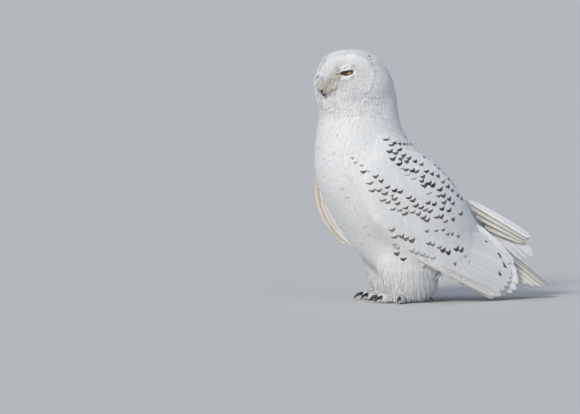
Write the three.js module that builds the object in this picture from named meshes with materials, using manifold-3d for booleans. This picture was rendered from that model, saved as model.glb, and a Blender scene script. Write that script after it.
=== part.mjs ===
// A snowy owl, an adult male at life size, perched with its wings loosely folded and its head turned a
// little to its left. Millimetres, +Z up. The owl faces -X and its left side faces -Y. Every solid
// reaches the tips of the plumage, so the outlines are those of the feathered bird.
import * as THREE from "three";
import { mergeVertices } from "three/addons/utils/BufferGeometryUtils.js";
import Module from "manifold-3d";

const wasm = await Module();
wasm.setup();

// Driving dimensions
const gap = 0.3; // clearance between two solids that touch
const rad = THREE.MathUtils.degToRad;

const headCentre = [-137, 0, 397];
const headYaw = 20; // degrees that the head turns to the owl's left
const headPitch = 4; // degrees that the bill is raised
const head = { front: 59, back: 64, side: 68, up: 56, down: 67 }; // reach from its centre
const eye = { radius: 13, forward: 34, side: 33, up: 14 };

const tailLength = 218;
const tailSlope = 40; // degrees below level
const tailTip = [240, 0, 21];
const tailFeathers = 10;

const legSide = 42; // from the middle of the body to each leg
const footX = -50; // where the toes spread from
const toe = { length: 44, radius: 9.5, sink: 1.6 }; // its end is sunk below the floor and cut flat
const clawLength = 21;

const colours = { plumage: 0xf2f3f2, horn: 0x1c1b1c, iris: 0xe0a81c, flight: 0xf4f1e8 };

// Shape helpers
const vec = (x, y, z) => new THREE.Vector3(x, y, z);
const mix = (a, b, t) => a + (b - a) * t;
const smoothMax = (a, b, round) => (a + b + Math.hypot(a - b, round)) / 2;

// The value of a smooth curve through evenly spaced numbers, at t from 0 to 1.
function through(values, t) {
  const place = Math.min(Math.max(t, 0), 1) * (values.length - 1);
  const i = Math.min(Math.floor(place), values.length - 2);
  const at = (k) => {
    if (k < 0) return 2 * values[0] - values[1];
    if (k >= values.length) return 2 * values[values.length - 1] - values[values.length - 2];
    return values[k];
  };
  const [a, b, c, d] = [at(i - 1), at(i), at(i + 1), at(i + 2)];
  const f = place - i;
  return b + 0.5 * f * (c - a + f * (2 * a - 5 * b + 4 * c - d + f * (3 * (b - c) + d - a)));
}

// The rows of a table as one object whose fields are smooth functions of t.
function smoothRows(fields, rows) {
  return (t) => Object.fromEntries(fields.map((field, k) => [field, through(rows.map((r) => r[k]), t)]));
}

// A closed surface over rings that all have as many points, with a fan over each end.
function overRings(rings) {
  const count = rings[0].length;
  const points = rings.flat();
  const faces = [];
  const at = (ring, k) => ring * count + (k % count);
  for (let r = 0; r + 1 < rings.length; r++)
    for (let k = 0; k < count; k++)
      faces.push([at(r, k), at(r, k + 1), at(r + 1, k + 1)], [at(r, k), at(r + 1, k + 1), at(r + 1, k)]);
  for (const [ring, turn] of [[0, 1], [rings.length - 1, 0]]) {
    const middle = rings[ring].reduce((sum, p) => sum.add(p), vec(0, 0, 0)).divideScalar(count);
    points.push(middle);
    for (let k = 0; k < count; k++) {
      const edge = [at(ring, k), at(ring, k + 1)];
      faces.push(turn ? [points.length - 1, edge[1], edge[0]] : [points.length - 1, edge[0], edge[1]]);
    }
  }
  const geometry = new THREE.BufferGeometry().setFromPoints(points);
  geometry.setIndex(faces.flat());
  return geometry;
}

// A three.js geometry as a manifold-3d solid that faces outwards, larger all round by the growth.
function solid(geometry, growth = 0) {
  const bare = geometry.index ? geometry.toNonIndexed() : geometry.clone();
  bare.deleteAttribute("normal");
  bare.deleteAttribute("uv");
  const merged = mergeVertices(bare, 1e-3);
  const triVerts = new Uint32Array(merged.index.array);
  const mesh = () =>
    new wasm.Mesh({ numProp: 3, vertProperties: merged.attributes.position.array, triVerts });
  if (new wasm.Manifold(mesh()).volume() < 0)
    for (let i = 0; i < triVerts.length; i += 3)
      [triVerts[i + 1], triVerts[i + 2]] = [triVerts[i + 2], triVerts[i + 1]];
  if (growth) {
    merged.setIndex(new THREE.BufferAttribute(triVerts, 1));
    merged.computeVertexNormals();
    const { position, normal } = merged.attributes;
    for (let i = 0; i < position.array.length; i++) position.array[i] += growth * normal.array[i];
  }
  return new wasm.Manifold(mesh());
}

// A solid's largest piece, as a named mesh.
function meshOf(name, made, colour, roughness = 0.9) {
  const largest = made.decompose().reduce((a, b) => (a.volume() > b.volume() ? a : b));
  const m = largest.getMesh();
  const geometry = new THREE.BufferGeometry();
  geometry.setAttribute("position", new THREE.BufferAttribute(new Float32Array(m.vertProperties), 3));
  geometry.setIndex(new THREE.BufferAttribute(m.triVerts, 1));
  geometry.computeVertexNormals();
  const mesh = new THREE.Mesh(geometry, new THREE.MeshStandardMaterial({ color: colour, roughness }));
  mesh.name = name;
  return mesh;
}

// Several geometries as one solid.
const joined = (geometries, growth = 0) =>
  geometries.map((geometry) => solid(geometry, growth)).reduce((a, b) => a.add(b));

// Everything on one side of a plane through a point, as a large box.
function halfSpace(point, normal) {
  const size = 1500;
  const box = new THREE.BoxGeometry(size, size, size).translate(0, 0, size / 2);
  box.applyQuaternion(new THREE.Quaternion().setFromUnitVectors(vec(0, 0, 1), normal.clone().normalize()));
  return solid(box.translate(point.x, point.y, point.z));
}

// Trunk and neck: oval sections that reach from a point on the front outline to one on the back outline.
// Each row is the front point, the back point, the half width, and how square the section is; 2 is an oval.
const trunkRow = smoothRows(["frontX", "frontZ", "backX", "backZ", "side", "square"], [
  [-174, 372, -70, 384, 54, 2.0], // inside the head
  [-195, 338, -57, 352, 68, 2.1], // throat
  [-202, 298, -51, 316, 79, 2.2], // foot of the neck
  [-203, 256, -33, 284, 88, 2.4], // shoulders
  [-197, 210, 16, 248, 94, 2.5], // breast
  [-172, 160, 54, 202, 94, 2.5],
  [-140, 106, 78, 160, 88, 2.3], // belly
  [-100, 62, 92, 132, 74, 2.2],
  [-36, 50, 106, 114, 54, 2.1], // vent
  [54, 66, 132, 98, 30, 2.0], // tail coverts
]);

function trunkSurface() {
  const ringCount = 16;
  const around = 24;
  const rings = [];
  for (let r = 0; r <= ringCount; r++) {
    const row = trunkRow(r / ringCount);
    const front = vec(row.frontX, 0, row.frontZ);
    const back = vec(row.backX, 0, row.backZ);
    const middle = front.clone().lerp(back, 0.5);
    const reach = front.clone().sub(back).multiplyScalar(0.5);
    const half = reach.length();
    reach.normalize();
    const power = 2 / row.square;
    rings.push(Array.from({ length: around }, (_, k) => {
      const turn = (2 * Math.PI * k) / around;
      const along = Math.sign(Math.cos(turn)) * Math.abs(Math.cos(turn)) ** power * half;
      const across = Math.sign(Math.sin(turn)) * Math.abs(Math.sin(turn)) ** power * row.side;
      return middle.clone().addScaledVector(reach, along).add(vec(0, across, 0));
    }));
  }
  return overRings(rings);
}

// Head: an ovoid with a flat face of two shallow discs, a brow, a mound of bristles over the bill, cheeks.
const headTurn = new THREE.Matrix4()
  .makeTranslation(...headCentre)
  .multiply(new THREE.Matrix4().makeRotationZ(rad(headYaw)))
  .multiply(new THREE.Matrix4().makeRotationY(rad(headPitch)));
const hill = (x, y, cx, cy, wide, tall) => Math.exp(-(((x - cx) / wide) ** 2) - ((y - cy) / tall) ** 2);

// A point of the head's surface along a direction, with x forward, y to the left and z up.
function headPoint(direction) {
  const { x, y, z } = direction;
  const long = x > 0 ? head.front : head.back;
  const tall = z > 0 ? head.up : head.down;
  const square = mix(2, 2.4, THREE.MathUtils.smoothstep(x, -0.4, 0.6)); // the face is flatter than the nape
  const spread = [x / long, y / head.side, z / tall].map((v) => Math.abs(v) ** square);
  const reach = (spread[0] + spread[1] + spread[2]) ** (-1 / square);
  const p = vec(x * reach, y * reach, z * reach);
  const facing = THREE.MathUtils.smoothstep(x, 0.05, 0.6);
  const side = Math.abs(p.y);
  p.x += facing * 3.5 * hill(side, p.z, 52, 4, 12, 36); // rim of the disc
  p.x -= facing * 9 * hill(side, p.z, eye.side + 2, eye.up - 3, 18, 15); // bowl round the eye
  p.x += facing * 3 * hill(side, p.z, 16, 34, 18, 9); // brow
  p.x += facing * 12 * hill(side, p.z, 0, 0, 12, 17); // bristles over the bill
  p.x += facing * 7 * hill(side, p.z, 20, -46, 26, 20); // cheeks and chin
  return p;
}

function headSurface() {
  const ball = new THREE.IcosahedronGeometry(1, 6);
  ball.deleteAttribute("normal");
  ball.deleteAttribute("uv");
  const geometry = mergeVertices(ball, 1e-4);
  const place = geometry.attributes.position;
  for (let i = 0; i < place.count; i++) {
    const p = headPoint(vec(place.getX(i), place.getY(i), place.getZ(i)).normalize());
    place.setXYZ(i, -p.x, -p.y, p.z);
  }
  return geometry.applyMatrix4(headTurn);
}

// A round horn that narrows along a curve, for the bill and the claws.
function horn(path, widths, heights, steps = 6, around = 10) {
  const curve = new THREE.CatmullRomCurve3(path);
  const rings = [];
  for (let s = 0; s <= steps; s++) {
    const t = s / steps;
    const along = curve.getTangent(t);
    const across = vec(0, 1, 0).cross(along).lengthSq() > 1e-6 ? vec(0, 1, 0) : vec(1, 0, 0);
    across.addScaledVector(along, -across.dot(along)).normalize();
    const up = along.clone().cross(across).normalize();
    rings.push(Array.from({ length: around }, (_, k) => {
      const turn = (2 * Math.PI * k) / around;
      return curve
        .getPoint(t)
        .addScaledVector(across, Math.cos(turn) * through(widths, t))
        .addScaledVector(up, Math.sin(turn) * through(heights, t));
    }));
  }
  return overRings(rings);
}

// Both halves of the bill, in the head's own frame.
function billPart(upper) {
  const path = upper
    ? [vec(-40, 0, 0), vec(-54, 0, -3), vec(-63, 0, -12), vec(-66, 0, -23), vec(-63.5, 0, -31)]
    : [vec(-40, 0, -17), vec(-51, 0, -20), vec(-57, 0, -24), vec(-60, 0, -28)];
  const widths = upper ? [9, 9, 7, 4.2, 1] : [7, 6, 4.5, 1.6];
  const heights = upper ? [8, 7, 5.4, 3.6, 1] : [3, 2.6, 2, 1];
  return horn(path, widths, heights).applyMatrix4(headTurn);
}

function eyeBall(side) {
  const ball = new THREE.IcosahedronGeometry(eye.radius, 2);
  ball.translate(-eye.forward, side * eye.side, eye.up);
  return ball.applyMatrix4(headTurn);
}

// Half the trunk's width at a place in the owl's side view, or 0 outside its outline.
function trunkSide(x, z) {
  let [low, high] = [0, 1];
  for (let i = 0; i < 24; i++) {
    const r = (low + high) / 2;
    const { frontX, frontZ, backX, backZ } = trunkRow(r);
    const under = (backX - frontX) * (z - frontZ) - (backZ - frontZ) * (x - frontX) < 0;
    [low, high] = under ? [r, high] : [low, r];
  }
  const { frontX, frontZ, backX, backZ, side, square } = trunkRow(low);
  const length = Math.hypot(backX - frontX, backZ - frontZ);
  const along = ((x - frontX) * (backX - frontX) + (z - frontZ) * (backZ - frontZ)) / length ** 2;
  return side * Math.max(0, 1 - Math.abs(2 * along - 1) ** square) ** (1 / square);
}

// Folded wings: sections from a point on the upper edge to one on the lower edge, which lie on the trunk.
// Each row is the upper point with its distance from the middle of the body, the same for the lower point,
// how far the section bows out beyond the line between them, and its thickness.
const wingFields = ["topX", "topZ", "topY", "lowX", "lowZ", "lowY", "bow", "thick"];
const wingRows = {
  left: smoothRows(wingFields, [
    [-104, 300, 60, -150, 246, 74, 4, 12], // shoulder
    [-70, 294, 48, -150, 190, 86, 12, 16],
    [-28, 274, 30, -124, 132, 92, 22, 20],
    [10, 243, 18, -76, 92, 90, 30, 22],
    [46, 203, 14, -16, 62, 86, 30, 20],
    [84, 157, 16, 40, 36, 78, 22, 14],
    [115, 112, 32, 80, 18, 66, 9, 6], // beside the root of the tail
    [142, 79, 40, 107, 7, 58, 5, 4],
  ]),
  right: smoothRows(wingFields, [
    [-104, 300, 60, -166, 246, 76, 4, 12], // shoulder
    [-70, 294, 48, -180, 198, 88, 12, 16],
    [-24, 278, 30, -160, 142, 92, 22, 20],
    [18, 243, 18, -122, 96, 88, 30, 22],
    [60, 198, 14, -40, 74, 82, 30, 20],
    [102, 178, 14, 44, 62, 72, 22, 14],
    [146, 149, 15, 104, 64, 62, 9, 6], // over the tail
    [178, 125, 20, 144, 70, 52, 5, 4],
  ]),
};
const wingLift = 8; // how far a wing stands proud of the trunk

function wingPoint(side, row, v) {
  const bow = row.bow * Math.sin(Math.PI * v) ** 0.8;
  const [x, z] = [mix(row.topX, row.lowX, v), mix(row.topZ, row.lowZ, v)];
  const out = smoothMax(mix(row.topY, row.lowY, v) + bow, trunkSide(x, z) + wingLift, 8);
  return vec(x, side * out, z);
}

function wingSheet(side, rowAt) {
  const ringCount = 15;
  const across = 9;
  const step = 0.02;
  const rings = [];
  for (let r = 0; r <= ringCount; r++) {
    const t = mix(step, 1 - step, r / ringCount);
    const place = (k, inward) => {
      const v = mix(step, 1 - step, (k / across) ** 1.3); // closer together at the upper edge
      const alongWing = wingPoint(side, rowAt(t + step), v).sub(wingPoint(side, rowAt(t - step), v));
      const downWing = wingPoint(side, rowAt(t), v + step).sub(wingPoint(side, rowAt(t), v - step));
      const out = alongWing.cross(downWing).multiplyScalar(side).normalize();
      const edge = Math.min(1, 5 * Math.min(v, 1 - v)) ** 0.5;
      const depth = inward * rowAt(t).thick * mix(0.25, 1, edge);
      return wingPoint(side, rowAt(t), v).addScaledVector(out, -depth);
    };
    const outer = Array.from({ length: across + 1 }, (_, k) => place(k, 0));
    const inner = Array.from({ length: across + 1 }, (_, k) => place(across - k, 1));
    rings.push([...outer, ...inner]);
  }
  return overRings(rings);
}

// A flat feather with a round tip: it points along its direction and lies in the plane square to its face.
function blade(tip, direction, face, length, width, thick) {
  const half = width / 2;
  const outline = new THREE.Shape();
  outline.moveTo(-length, -half * 0.55);
  outline.lineTo(-half * 1.3, -half);
  outline.bezierCurveTo(-half * 0.3, -half, 0, -half * 0.45, 0, 0);
  outline.bezierCurveTo(0, half * 0.45, -half * 0.3, half, -half * 1.3, half);
  outline.lineTo(-length, half * 0.55);
  outline.closePath();
  const plate = new THREE.ExtrudeGeometry(outline, { depth: thick, bevelEnabled: false, curveSegments: 2 });
  plate.translate(0, 0, -thick / 2);
  const along = direction.clone().normalize();
  const across = face.clone().cross(along).normalize();
  const out = along.clone().cross(across);
  plate.applyMatrix4(new THREE.Matrix4().makeBasis(along, across, out));
  return plate.translate(tip.x, tip.y, tip.z);
}

// The tips of a wing's flight feathers: a row of blades from the inner, higher ones to the outer ones.
const tipCount = 6;
const wingTips = {
  left: { side: -1, high: [150, 29, 66], low: [150, 45, 10], back: 10, slopes: [44, 25], width: 29 },
  right: { side: 1, high: [194, 2, 98], low: [176, 34, 79], back: 24, slopes: [38, 10], width: 27 },
};

function tipFan({ side, high, low, back, slopes, width }) {
  return Array.from({ length: tipCount }, (_, i) => {
    const t = i / (tipCount - 1);
    const reach = back * Math.sin(Math.PI * Math.min(t * 1.15, 1)) ** 0.8;
    const slope = rad(mix(slopes[0], slopes[1], t));
    const tip = vec(mix(high[0], low[0], t), mix(high[1], low[1], t) + 0.5 * i, mix(high[2], low[2], t));
    tip.add(vec(reach * Math.cos(slope), 0, -0.4 * reach * Math.sin(slope)));
    tip.y *= side;
    const direction = vec(Math.cos(slope), side * 0.1, -Math.sin(slope));
    return blade(tip, direction, vec(0.1, side, 0.28), 118, width, 3);
  });
}

// Tail: a closed fan of feathers, arched like a roof, the middle pair on top.
function tailFan() {
  const down = rad(tailSlope);
  const along = vec(Math.cos(down), 0, -Math.sin(down));
  const up = vec(Math.sin(down), 0, Math.cos(down));
  const tip = vec(...tailTip);
  return Array.from({ length: tailFeathers }, (_, i) => {
    const share = (i + 0.5) / (tailFeathers / 2) - 1; // -1 at one side, 1 at the other
    const spread = rad(5.5) * share;
    const direction = along.clone().multiplyScalar(Math.cos(spread)).add(vec(0, Math.sin(spread), 0));
    const place = tip
      .clone()
      .addScaledVector(along, -13 * share ** 2)
      .addScaledVector(up, -15 * share ** 2 - 1.2)
      .add(vec(0, 24 * share, 0));
    const face = up.clone().add(vec(0, 0.75 * share, 0));
    return blade(place, direction, face, tailLength - 20, 26, 2.4);
  });
}

// Legs: the long feathers of the thigh and shank hang round the leg to just above the foot.
const legRow = smoothRows(["x", "z", "long", "wide"], [
  [-56, 124, 46, 34],
  [-52, 90, 54, 40],
  [-46, 60, 56, 39],
  [-42, 36, 52, 35],
  [-42, 18, 42, 29],
  [-46, 8, 26, 21],
]);

function legSurface(side) {
  const ringCount = 7;
  const around = 14;
  const rings = [];
  for (let r = 0; r <= ringCount; r++) {
    const row = legRow(r / ringCount);
    rings.push(Array.from({ length: around }, (_, k) => {
      const turn = (2 * Math.PI * k) / around;
      const across = side * legSide + Math.sin(turn) * row.wide;
      return vec(row.x + Math.cos(turn) * row.long, across, row.z);
    }));
  }
  return overRings(rings);
}

// Feet: two toes forward, one outward and one back, thickly feathered, each with a flat where it rests.
const toeTurns = [-17, 14, 58, 172]; // degrees from straight ahead, outwards

function toePath(side, turn) {
  const reach = turn > 90 ? toe.length * 0.62 : toe.length;
  const angle = rad(turn);
  const ahead = vec(-Math.cos(angle), side * Math.sin(angle), 0);
  const root = vec(footX, side * legSide, toe.radius);
  return { root, ahead, end: root.clone().addScaledVector(ahead, reach).setZ(toe.radius - toe.sink) };
}

function footSurfaces(side) {
  const ankle = new THREE.IcosahedronGeometry(15, 1);
  ankle.translate(footX + 2, side * legSide, 13);
  const toes = toeTurns.map((turn) => {
    const { root, ahead, end } = toePath(side, turn);
    const middle = root.clone().lerp(end, 0.55);
    const nose = end.clone().addScaledVector(ahead, toe.radius * 0.55);
    const r = toe.radius;
    const sizes = [r, r, r, r * 0.62];
    return horn([root, middle, end, nose], sizes, sizes, 3, 9);
  });
  return [ankle, ...toes];
}

function claw(side, turn) {
  const { ahead, end } = toePath(side, turn);
  const at = (forward, z) => end.clone().addScaledVector(ahead, toe.radius * 0.2 + forward).setZ(z);
  const path = [at(0, 9.5), at(clawLength * 0.45, 11), at(clawLength * 0.8, 7.5), at(clawLength, 1.6)];
  return horn(path, [3.4, 3, 2.1, 0.5], [3.8, 3.4, 2.3, 0.5], 4, 7);
}

// Putting the owl together. Each solid is cut back by the ones before it, made larger by the gap.
function owl() {
  const bird = new THREE.Group();
  const earlier = [];
  const asItIs = (made) => made;
  const add = (name, geometries, colour, { roughness = 0.9, cut = asItIs, cutsOthers = true } = {}) => {
    const whole = joined(geometries);
    const rest = earlier.reduce((left, grown) => left.subtract(grown), cut(whole));
    bird.add(meshOf(name, rest, colour, roughness));
    if (cutsOthers) earlier.push(joined(geometries, gap * 1.5).add(whole));
  };
  const neckFoot = trunkRow(2 / 9);
  const cutPoint = vec(neckFoot.frontX, 0, neckFoot.frontZ);
  const cutNormal = vec(neckFoot.frontZ - neckFoot.backZ, 0, neckFoot.backX - neckFoot.frontX).normalize();
  const aboveCut = (rise) => halfSpace(cutPoint.clone().addScaledVector(cutNormal, rise), cutNormal);
  const aboveFloor = halfSpace(vec(0, 0, 0), vec(0, 0, 1));
  const sides = [["left", -1], ["right", 1]];
  const horny = { roughness: 0.35 };

  for (const [name, side] of sides)
    add("eye_" + name, [eyeBall(side)], colours.iris, { roughness: 0.08 });
  add("bill_upper", [billPart(true)], colours.horn, horny);
  add("bill_lower", [billPart(false)], colours.horn, horny);
  add("head", [headSurface()], colours.plumage);
  for (const [name, side] of sides)
    add("wing_" + name, [wingSheet(side, wingRows[name])], colours.plumage);
  const neckCut = (made) => made.intersect(aboveCut(0));
  add("neck", [trunkSurface()], colours.plumage, { cut: neckCut, cutsOthers: false });
  add("trunk", [trunkSurface()], colours.plumage, { cut: (made) => made.subtract(aboveCut(-gap)) });
  add("tail", tailFan(), colours.flight);
  for (const [name, side] of sides) {
    add("wing_" + name + "_tip", tipFan(wingTips[name]), colours.flight);
    add("leg_" + name, [legSurface(side)], colours.plumage);
    add("foot_" + name, footSurfaces(side), colours.plumage, { cut: (made) => made.intersect(aboveFloor) });
    toeTurns.forEach((turn, i) => {
      add("claw_" + name + "_" + (i + 1), [claw(side, turn)], colours.horn, horny);
    });
  }
  return bird;
}

// The origin is the middle of the owl's footprint: its box is centred over it, and its feet stand at z = 0.
const model = new THREE.Group();
const bird = owl();
const box = new THREE.Box3().setFromObject(bird);
bird.position.set(-(box.min.x + box.max.x) / 2, -(box.min.y + box.max.y) / 2, -box.min.z);
model.add(bird);

export default model;
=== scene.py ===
import math

import bpy
import numpy as np
from mathutils import Matrix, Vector
from mathutils.bvhtree import BVHTree
from mathutils.kdtree import KDTree


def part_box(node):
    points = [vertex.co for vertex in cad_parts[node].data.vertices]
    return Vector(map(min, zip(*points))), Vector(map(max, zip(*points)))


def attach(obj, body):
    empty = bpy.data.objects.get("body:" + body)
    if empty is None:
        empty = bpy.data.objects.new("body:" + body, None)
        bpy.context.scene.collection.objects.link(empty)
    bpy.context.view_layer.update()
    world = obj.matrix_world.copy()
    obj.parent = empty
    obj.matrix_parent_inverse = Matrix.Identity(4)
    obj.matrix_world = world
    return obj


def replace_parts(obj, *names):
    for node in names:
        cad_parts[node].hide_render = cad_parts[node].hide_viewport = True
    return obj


# A snowy owl in feather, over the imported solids. The owl faces -X, its left side is toward -Y, metres.
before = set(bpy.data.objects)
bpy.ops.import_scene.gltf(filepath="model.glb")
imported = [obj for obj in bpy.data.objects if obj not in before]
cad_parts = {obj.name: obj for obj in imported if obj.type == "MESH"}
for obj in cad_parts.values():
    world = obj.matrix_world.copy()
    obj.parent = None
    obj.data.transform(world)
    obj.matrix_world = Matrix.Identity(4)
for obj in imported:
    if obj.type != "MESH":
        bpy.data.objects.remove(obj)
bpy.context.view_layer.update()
chance = np.random.default_rng(11)
mm = 0.001


def unit(v):
    return v / np.maximum(np.linalg.norm(v, axis=-1, keepdims=True), 1e-12)


def ease(value, low, high):
    t = np.clip((value - low) / (high - low), 0, 1)
    return t * t * (3 - 2 * t)


def dot(a, b):
    return (a * b).sum(-1, keepdims=True)


def lerp(a, b, t):
    return a + (b - a) * t


def boxPoint(node, fx, fy, fz):
    low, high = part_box(node)
    return np.array([lerp(low[k], high[k], f) for k, f in enumerate((fx, fy, fz))])


def middleOf(node):
    return boxPoint(node, 0.5, 0.5, 0.5)


def linked(name, mesh):
    piece = bpy.data.objects.new(name, mesh)
    bpy.context.scene.collection.objects.link(piece)
    return piece


def placeTurned(piece, right, up, back, place):
    rows = [[right[k], up[k], back[k], place[k]] for k in range(3)]
    piece.matrix_world = Matrix([*rows, [0, 0, 0, 1]])


def meshOf(name, points, loops, totals):
    mesh = bpy.data.meshes.new(name)
    mesh.vertices.add(len(points))
    mesh.vertices.foreach_set("co", np.ascontiguousarray(points, np.float32).ravel())
    mesh.loops.add(len(loops))
    mesh.loops.foreach_set("vertex_index", np.ascontiguousarray(loops, np.int32))
    mesh.polygons.add(len(totals))
    starts = np.concatenate([[0], np.cumsum(totals)[:-1]])
    mesh.polygons.foreach_set("loop_start", starts.astype(np.int32))
    mesh.update(calc_edges=True)
    mesh.validate()
    mesh.polygons.foreach_set("use_smooth", np.full(len(mesh.polygons), True))
    return mesh


def quadMesh(name, points, quads):
    return meshOf(name, points, quads.ravel(), np.full(len(quads), 4))


def sharpEdges(mesh, outline):
    # the rim where a vane's top meets its underside, so that each is shaded on its own
    ends = np.empty(len(mesh.edges) * 2, np.int32)
    mesh.edges.foreach_get("vertices", ends)
    rim = outline[ends].reshape(-1, 2).all(1)
    mesh.attributes.new("sharp_edge", "BOOLEAN", "EDGE").data.foreach_set("value", rim)


def pointData(mesh, name, values):
    # three columns are a vector and four a colour
    kind, key = {3: ("FLOAT_VECTOR", "vector"), 4: ("FLOAT_COLOR", "color")}[values.shape[1]]
    data = mesh.attributes.new(name, kind, "POINT").data
    data.foreach_set(key, np.ascontiguousarray(values, np.float32).ravel())


def mapped(mesh, uv):
    layer = mesh.uv_layers.new(name="OFBake")
    layer.data.foreach_set("uv", np.ascontiguousarray(uv, np.float32).ravel())


# the studio: a long lens, one soft sun and a pale room
studio = {
    "turn": -18.0,  # degrees round the owl from its left side, toward its face
    "rise": 3.0,
    "distance": 11.6,
    "lens": 400,
    "subject": (-0.0689, 0.0, 0.0),
    "aimLeft": 0.194,  # the owl stands right of and below the middle of the view
    "aimUp": 0.169,
    "floorSize": 120,
    "keyFrom": (-0.72, -0.62, 0.62),
    "keyColour": (1.0, 0.965, 0.9),
    "keyStrength": 2.4,
    "keyAngle": 16,
    "worldColour": (0.74, 0.83, 1.0),
    "worldStrength": 0.62,
}

turn, rise = math.radians(studio["turn"]), math.radians(studio["rise"])
backward = np.array([math.sin(turn) * math.cos(rise), -math.cos(turn) * math.cos(rise), math.sin(rise)])
rightward = np.array([math.cos(turn), math.sin(turn), 0])
upward = np.cross(backward, rightward)
aim = np.array(studio["subject"]) - rightward * studio["aimLeft"] + upward * studio["aimUp"]
camera = bpy.data.objects.new("camera", bpy.data.cameras.new("camera"))
bpy.context.scene.collection.objects.link(camera)
camera.data.lens = studio["lens"]
camera.data.sensor_width = 36
placeTurned(camera, rightward, upward, backward, aim + backward * studio["distance"])
camera.data.clip_end = 300
bpy.context.scene.camera = camera
bpy.context.scene.view_settings.view_transform = "Standard"

half = studio["floorSize"] / 2
floorPoints = np.array([[-half, -half, 0], [half, -half, 0], [half, half, 0], [-half, half, 0]])
floor = linked("floor", quadMesh("floor", floorPoints, np.arange(4)[None]))

key = bpy.data.objects.new("key", bpy.data.lights.new("key", "SUN"))
bpy.context.scene.collection.objects.link(key)
key.data.energy = studio["keyStrength"]
key.data.angle = math.radians(studio["keyAngle"])
key.data.color = studio["keyColour"]
fromKey = unit(np.array(studio["keyFrom"]))
keyRight = unit(np.cross([0, 0, 1], fromKey))
placeTurned(key, keyRight, np.cross(fromKey, keyRight), fromKey, fromKey * 5)

world = bpy.data.worlds.new("studio")
bpy.context.scene.world = world
world.use_nodes = True
sky = world.node_tree.nodes["Background"]
sky.inputs["Color"].default_value = (*studio["worldColour"], 1)
sky.inputs["Strength"].default_value = studio["worldStrength"]
print("studio ready")


# shader maths
class Wire:
    # one output of a node, with maths written as expressions
    def __init__(self, finish, socket):
        self.finish = finish
        self.socket = socket

    def maths(self, operation, *values):
        return self.finish.node("ShaderNodeMath", {"operation": operation}, dict(enumerate(values)))

    def __add__(self, other):
        return self.maths("ADD", self, other)

    def __radd__(self, other):
        return self.maths("ADD", other, self)

    def __sub__(self, other):
        return self.maths("SUBTRACT", self, other)

    def __rsub__(self, other):
        return self.maths("SUBTRACT", other, self)

    def __mul__(self, other):
        return self.maths("MULTIPLY", self, other)

    def __rmul__(self, other):
        return self.maths("MULTIPLY", other, self)

    def __abs__(self):
        return self.maths("ABSOLUTE", self)

    def eased(self, low, high):
        settings = {"interpolation_type": "SMOOTHSTEP", "clamp": True}
        values = {"Value": self, "From Min": low, "From Max": high}
        return self.finish.node("ShaderNodeMapRange", settings, values)

    def clamped(self):
        return self.finish.node("ShaderNodeClamp", {}, {"Value": self})


class Finish:
    # a material whose nodes are added one call at a time
    def __init__(self, name):
        self.material = bpy.data.materials.new(name)
        self.material.use_nodes = True
        self.tree = self.material.node_tree
        self.tree.nodes.clear()

    def node(self, kind, settings, sockets, output=0):
        made = self.tree.nodes.new(kind)
        for name, value in settings.items():
            setattr(made, name, value)
        for name, value in sockets.items():
            if isinstance(value, Wire):
                self.tree.links.new(value.socket, made.inputs[name])
            else:
                made.inputs[name].default_value = value
        return None if output is None else Wire(self, made.outputs[output])

    def attribute(self, name, output="Vector"):
        return self.node("ShaderNodeAttribute", {"attribute_name": name}, {}, output)

    def parts(self, vector):
        split = self.node("ShaderNodeSeparateXYZ", {}, {"Vector": vector})
        return [Wire(self, out) for out in split.socket.node.outputs]

    def joined(self, x, y, z):
        return self.node("ShaderNodeCombineXYZ", {}, {"X": x, "Y": y, "Z": z})

    def place(self):
        return self.node("ShaderNodeTexCoord", {}, {}, "Object")

    def noise(self, vector, scale, detail=3.0, roughness=0.55):
        sockets = {"Vector": vector, "Scale": scale, "Detail": detail, "Roughness": roughness}
        return self.node("ShaderNodeTexNoise", {}, sockets)

    def mixed(self, factor, a, b):
        settings = {"data_type": "RGBA", "blend_type": "MIX"}
        a, b = ((*colour, 1) if isinstance(colour, tuple) else colour for colour in (a, b))
        return self.node("ShaderNodeMix", settings, {0: factor, 6: a, 7: b}, 2)

    def shaded(self, colour, factor):
        # a colour made darker or lighter by a number
        return self.node("ShaderNodeVectorMath", {"operation": "SCALE"}, {0: colour, "Scale": factor})

    def bump(self, height, strength, distance):
        sockets = {"Height": height, "Strength": strength, "Distance": distance}
        return self.node("ShaderNodeBump", {}, sockets)

    def surface(self, sockets):
        shader = self.node("ShaderNodeBsdfPrincipled", {}, sockets)
        self.node("ShaderNodeOutputMaterial", {}, {"Surface": shader}, None)
        return self.material


# feathers; a mark is a crescent across the vane, its measures shares of its half width and thickness
featherLook = {
    "dark": (0.014, 0.012, 0.013),
    "brown": (0.12, 0.065, 0.03),  # where a mark is brown
    "shaft": (0.42, 0.29, 0.13),
    "bow": 1.3,  # how far the ends of a mark turn toward the root
    "thin": 0.55,  # how much thinner a mark is at its ends
    "uneven": 1.5,  # how ragged its edge is
    "subsurface": 0.15,
}


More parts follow.
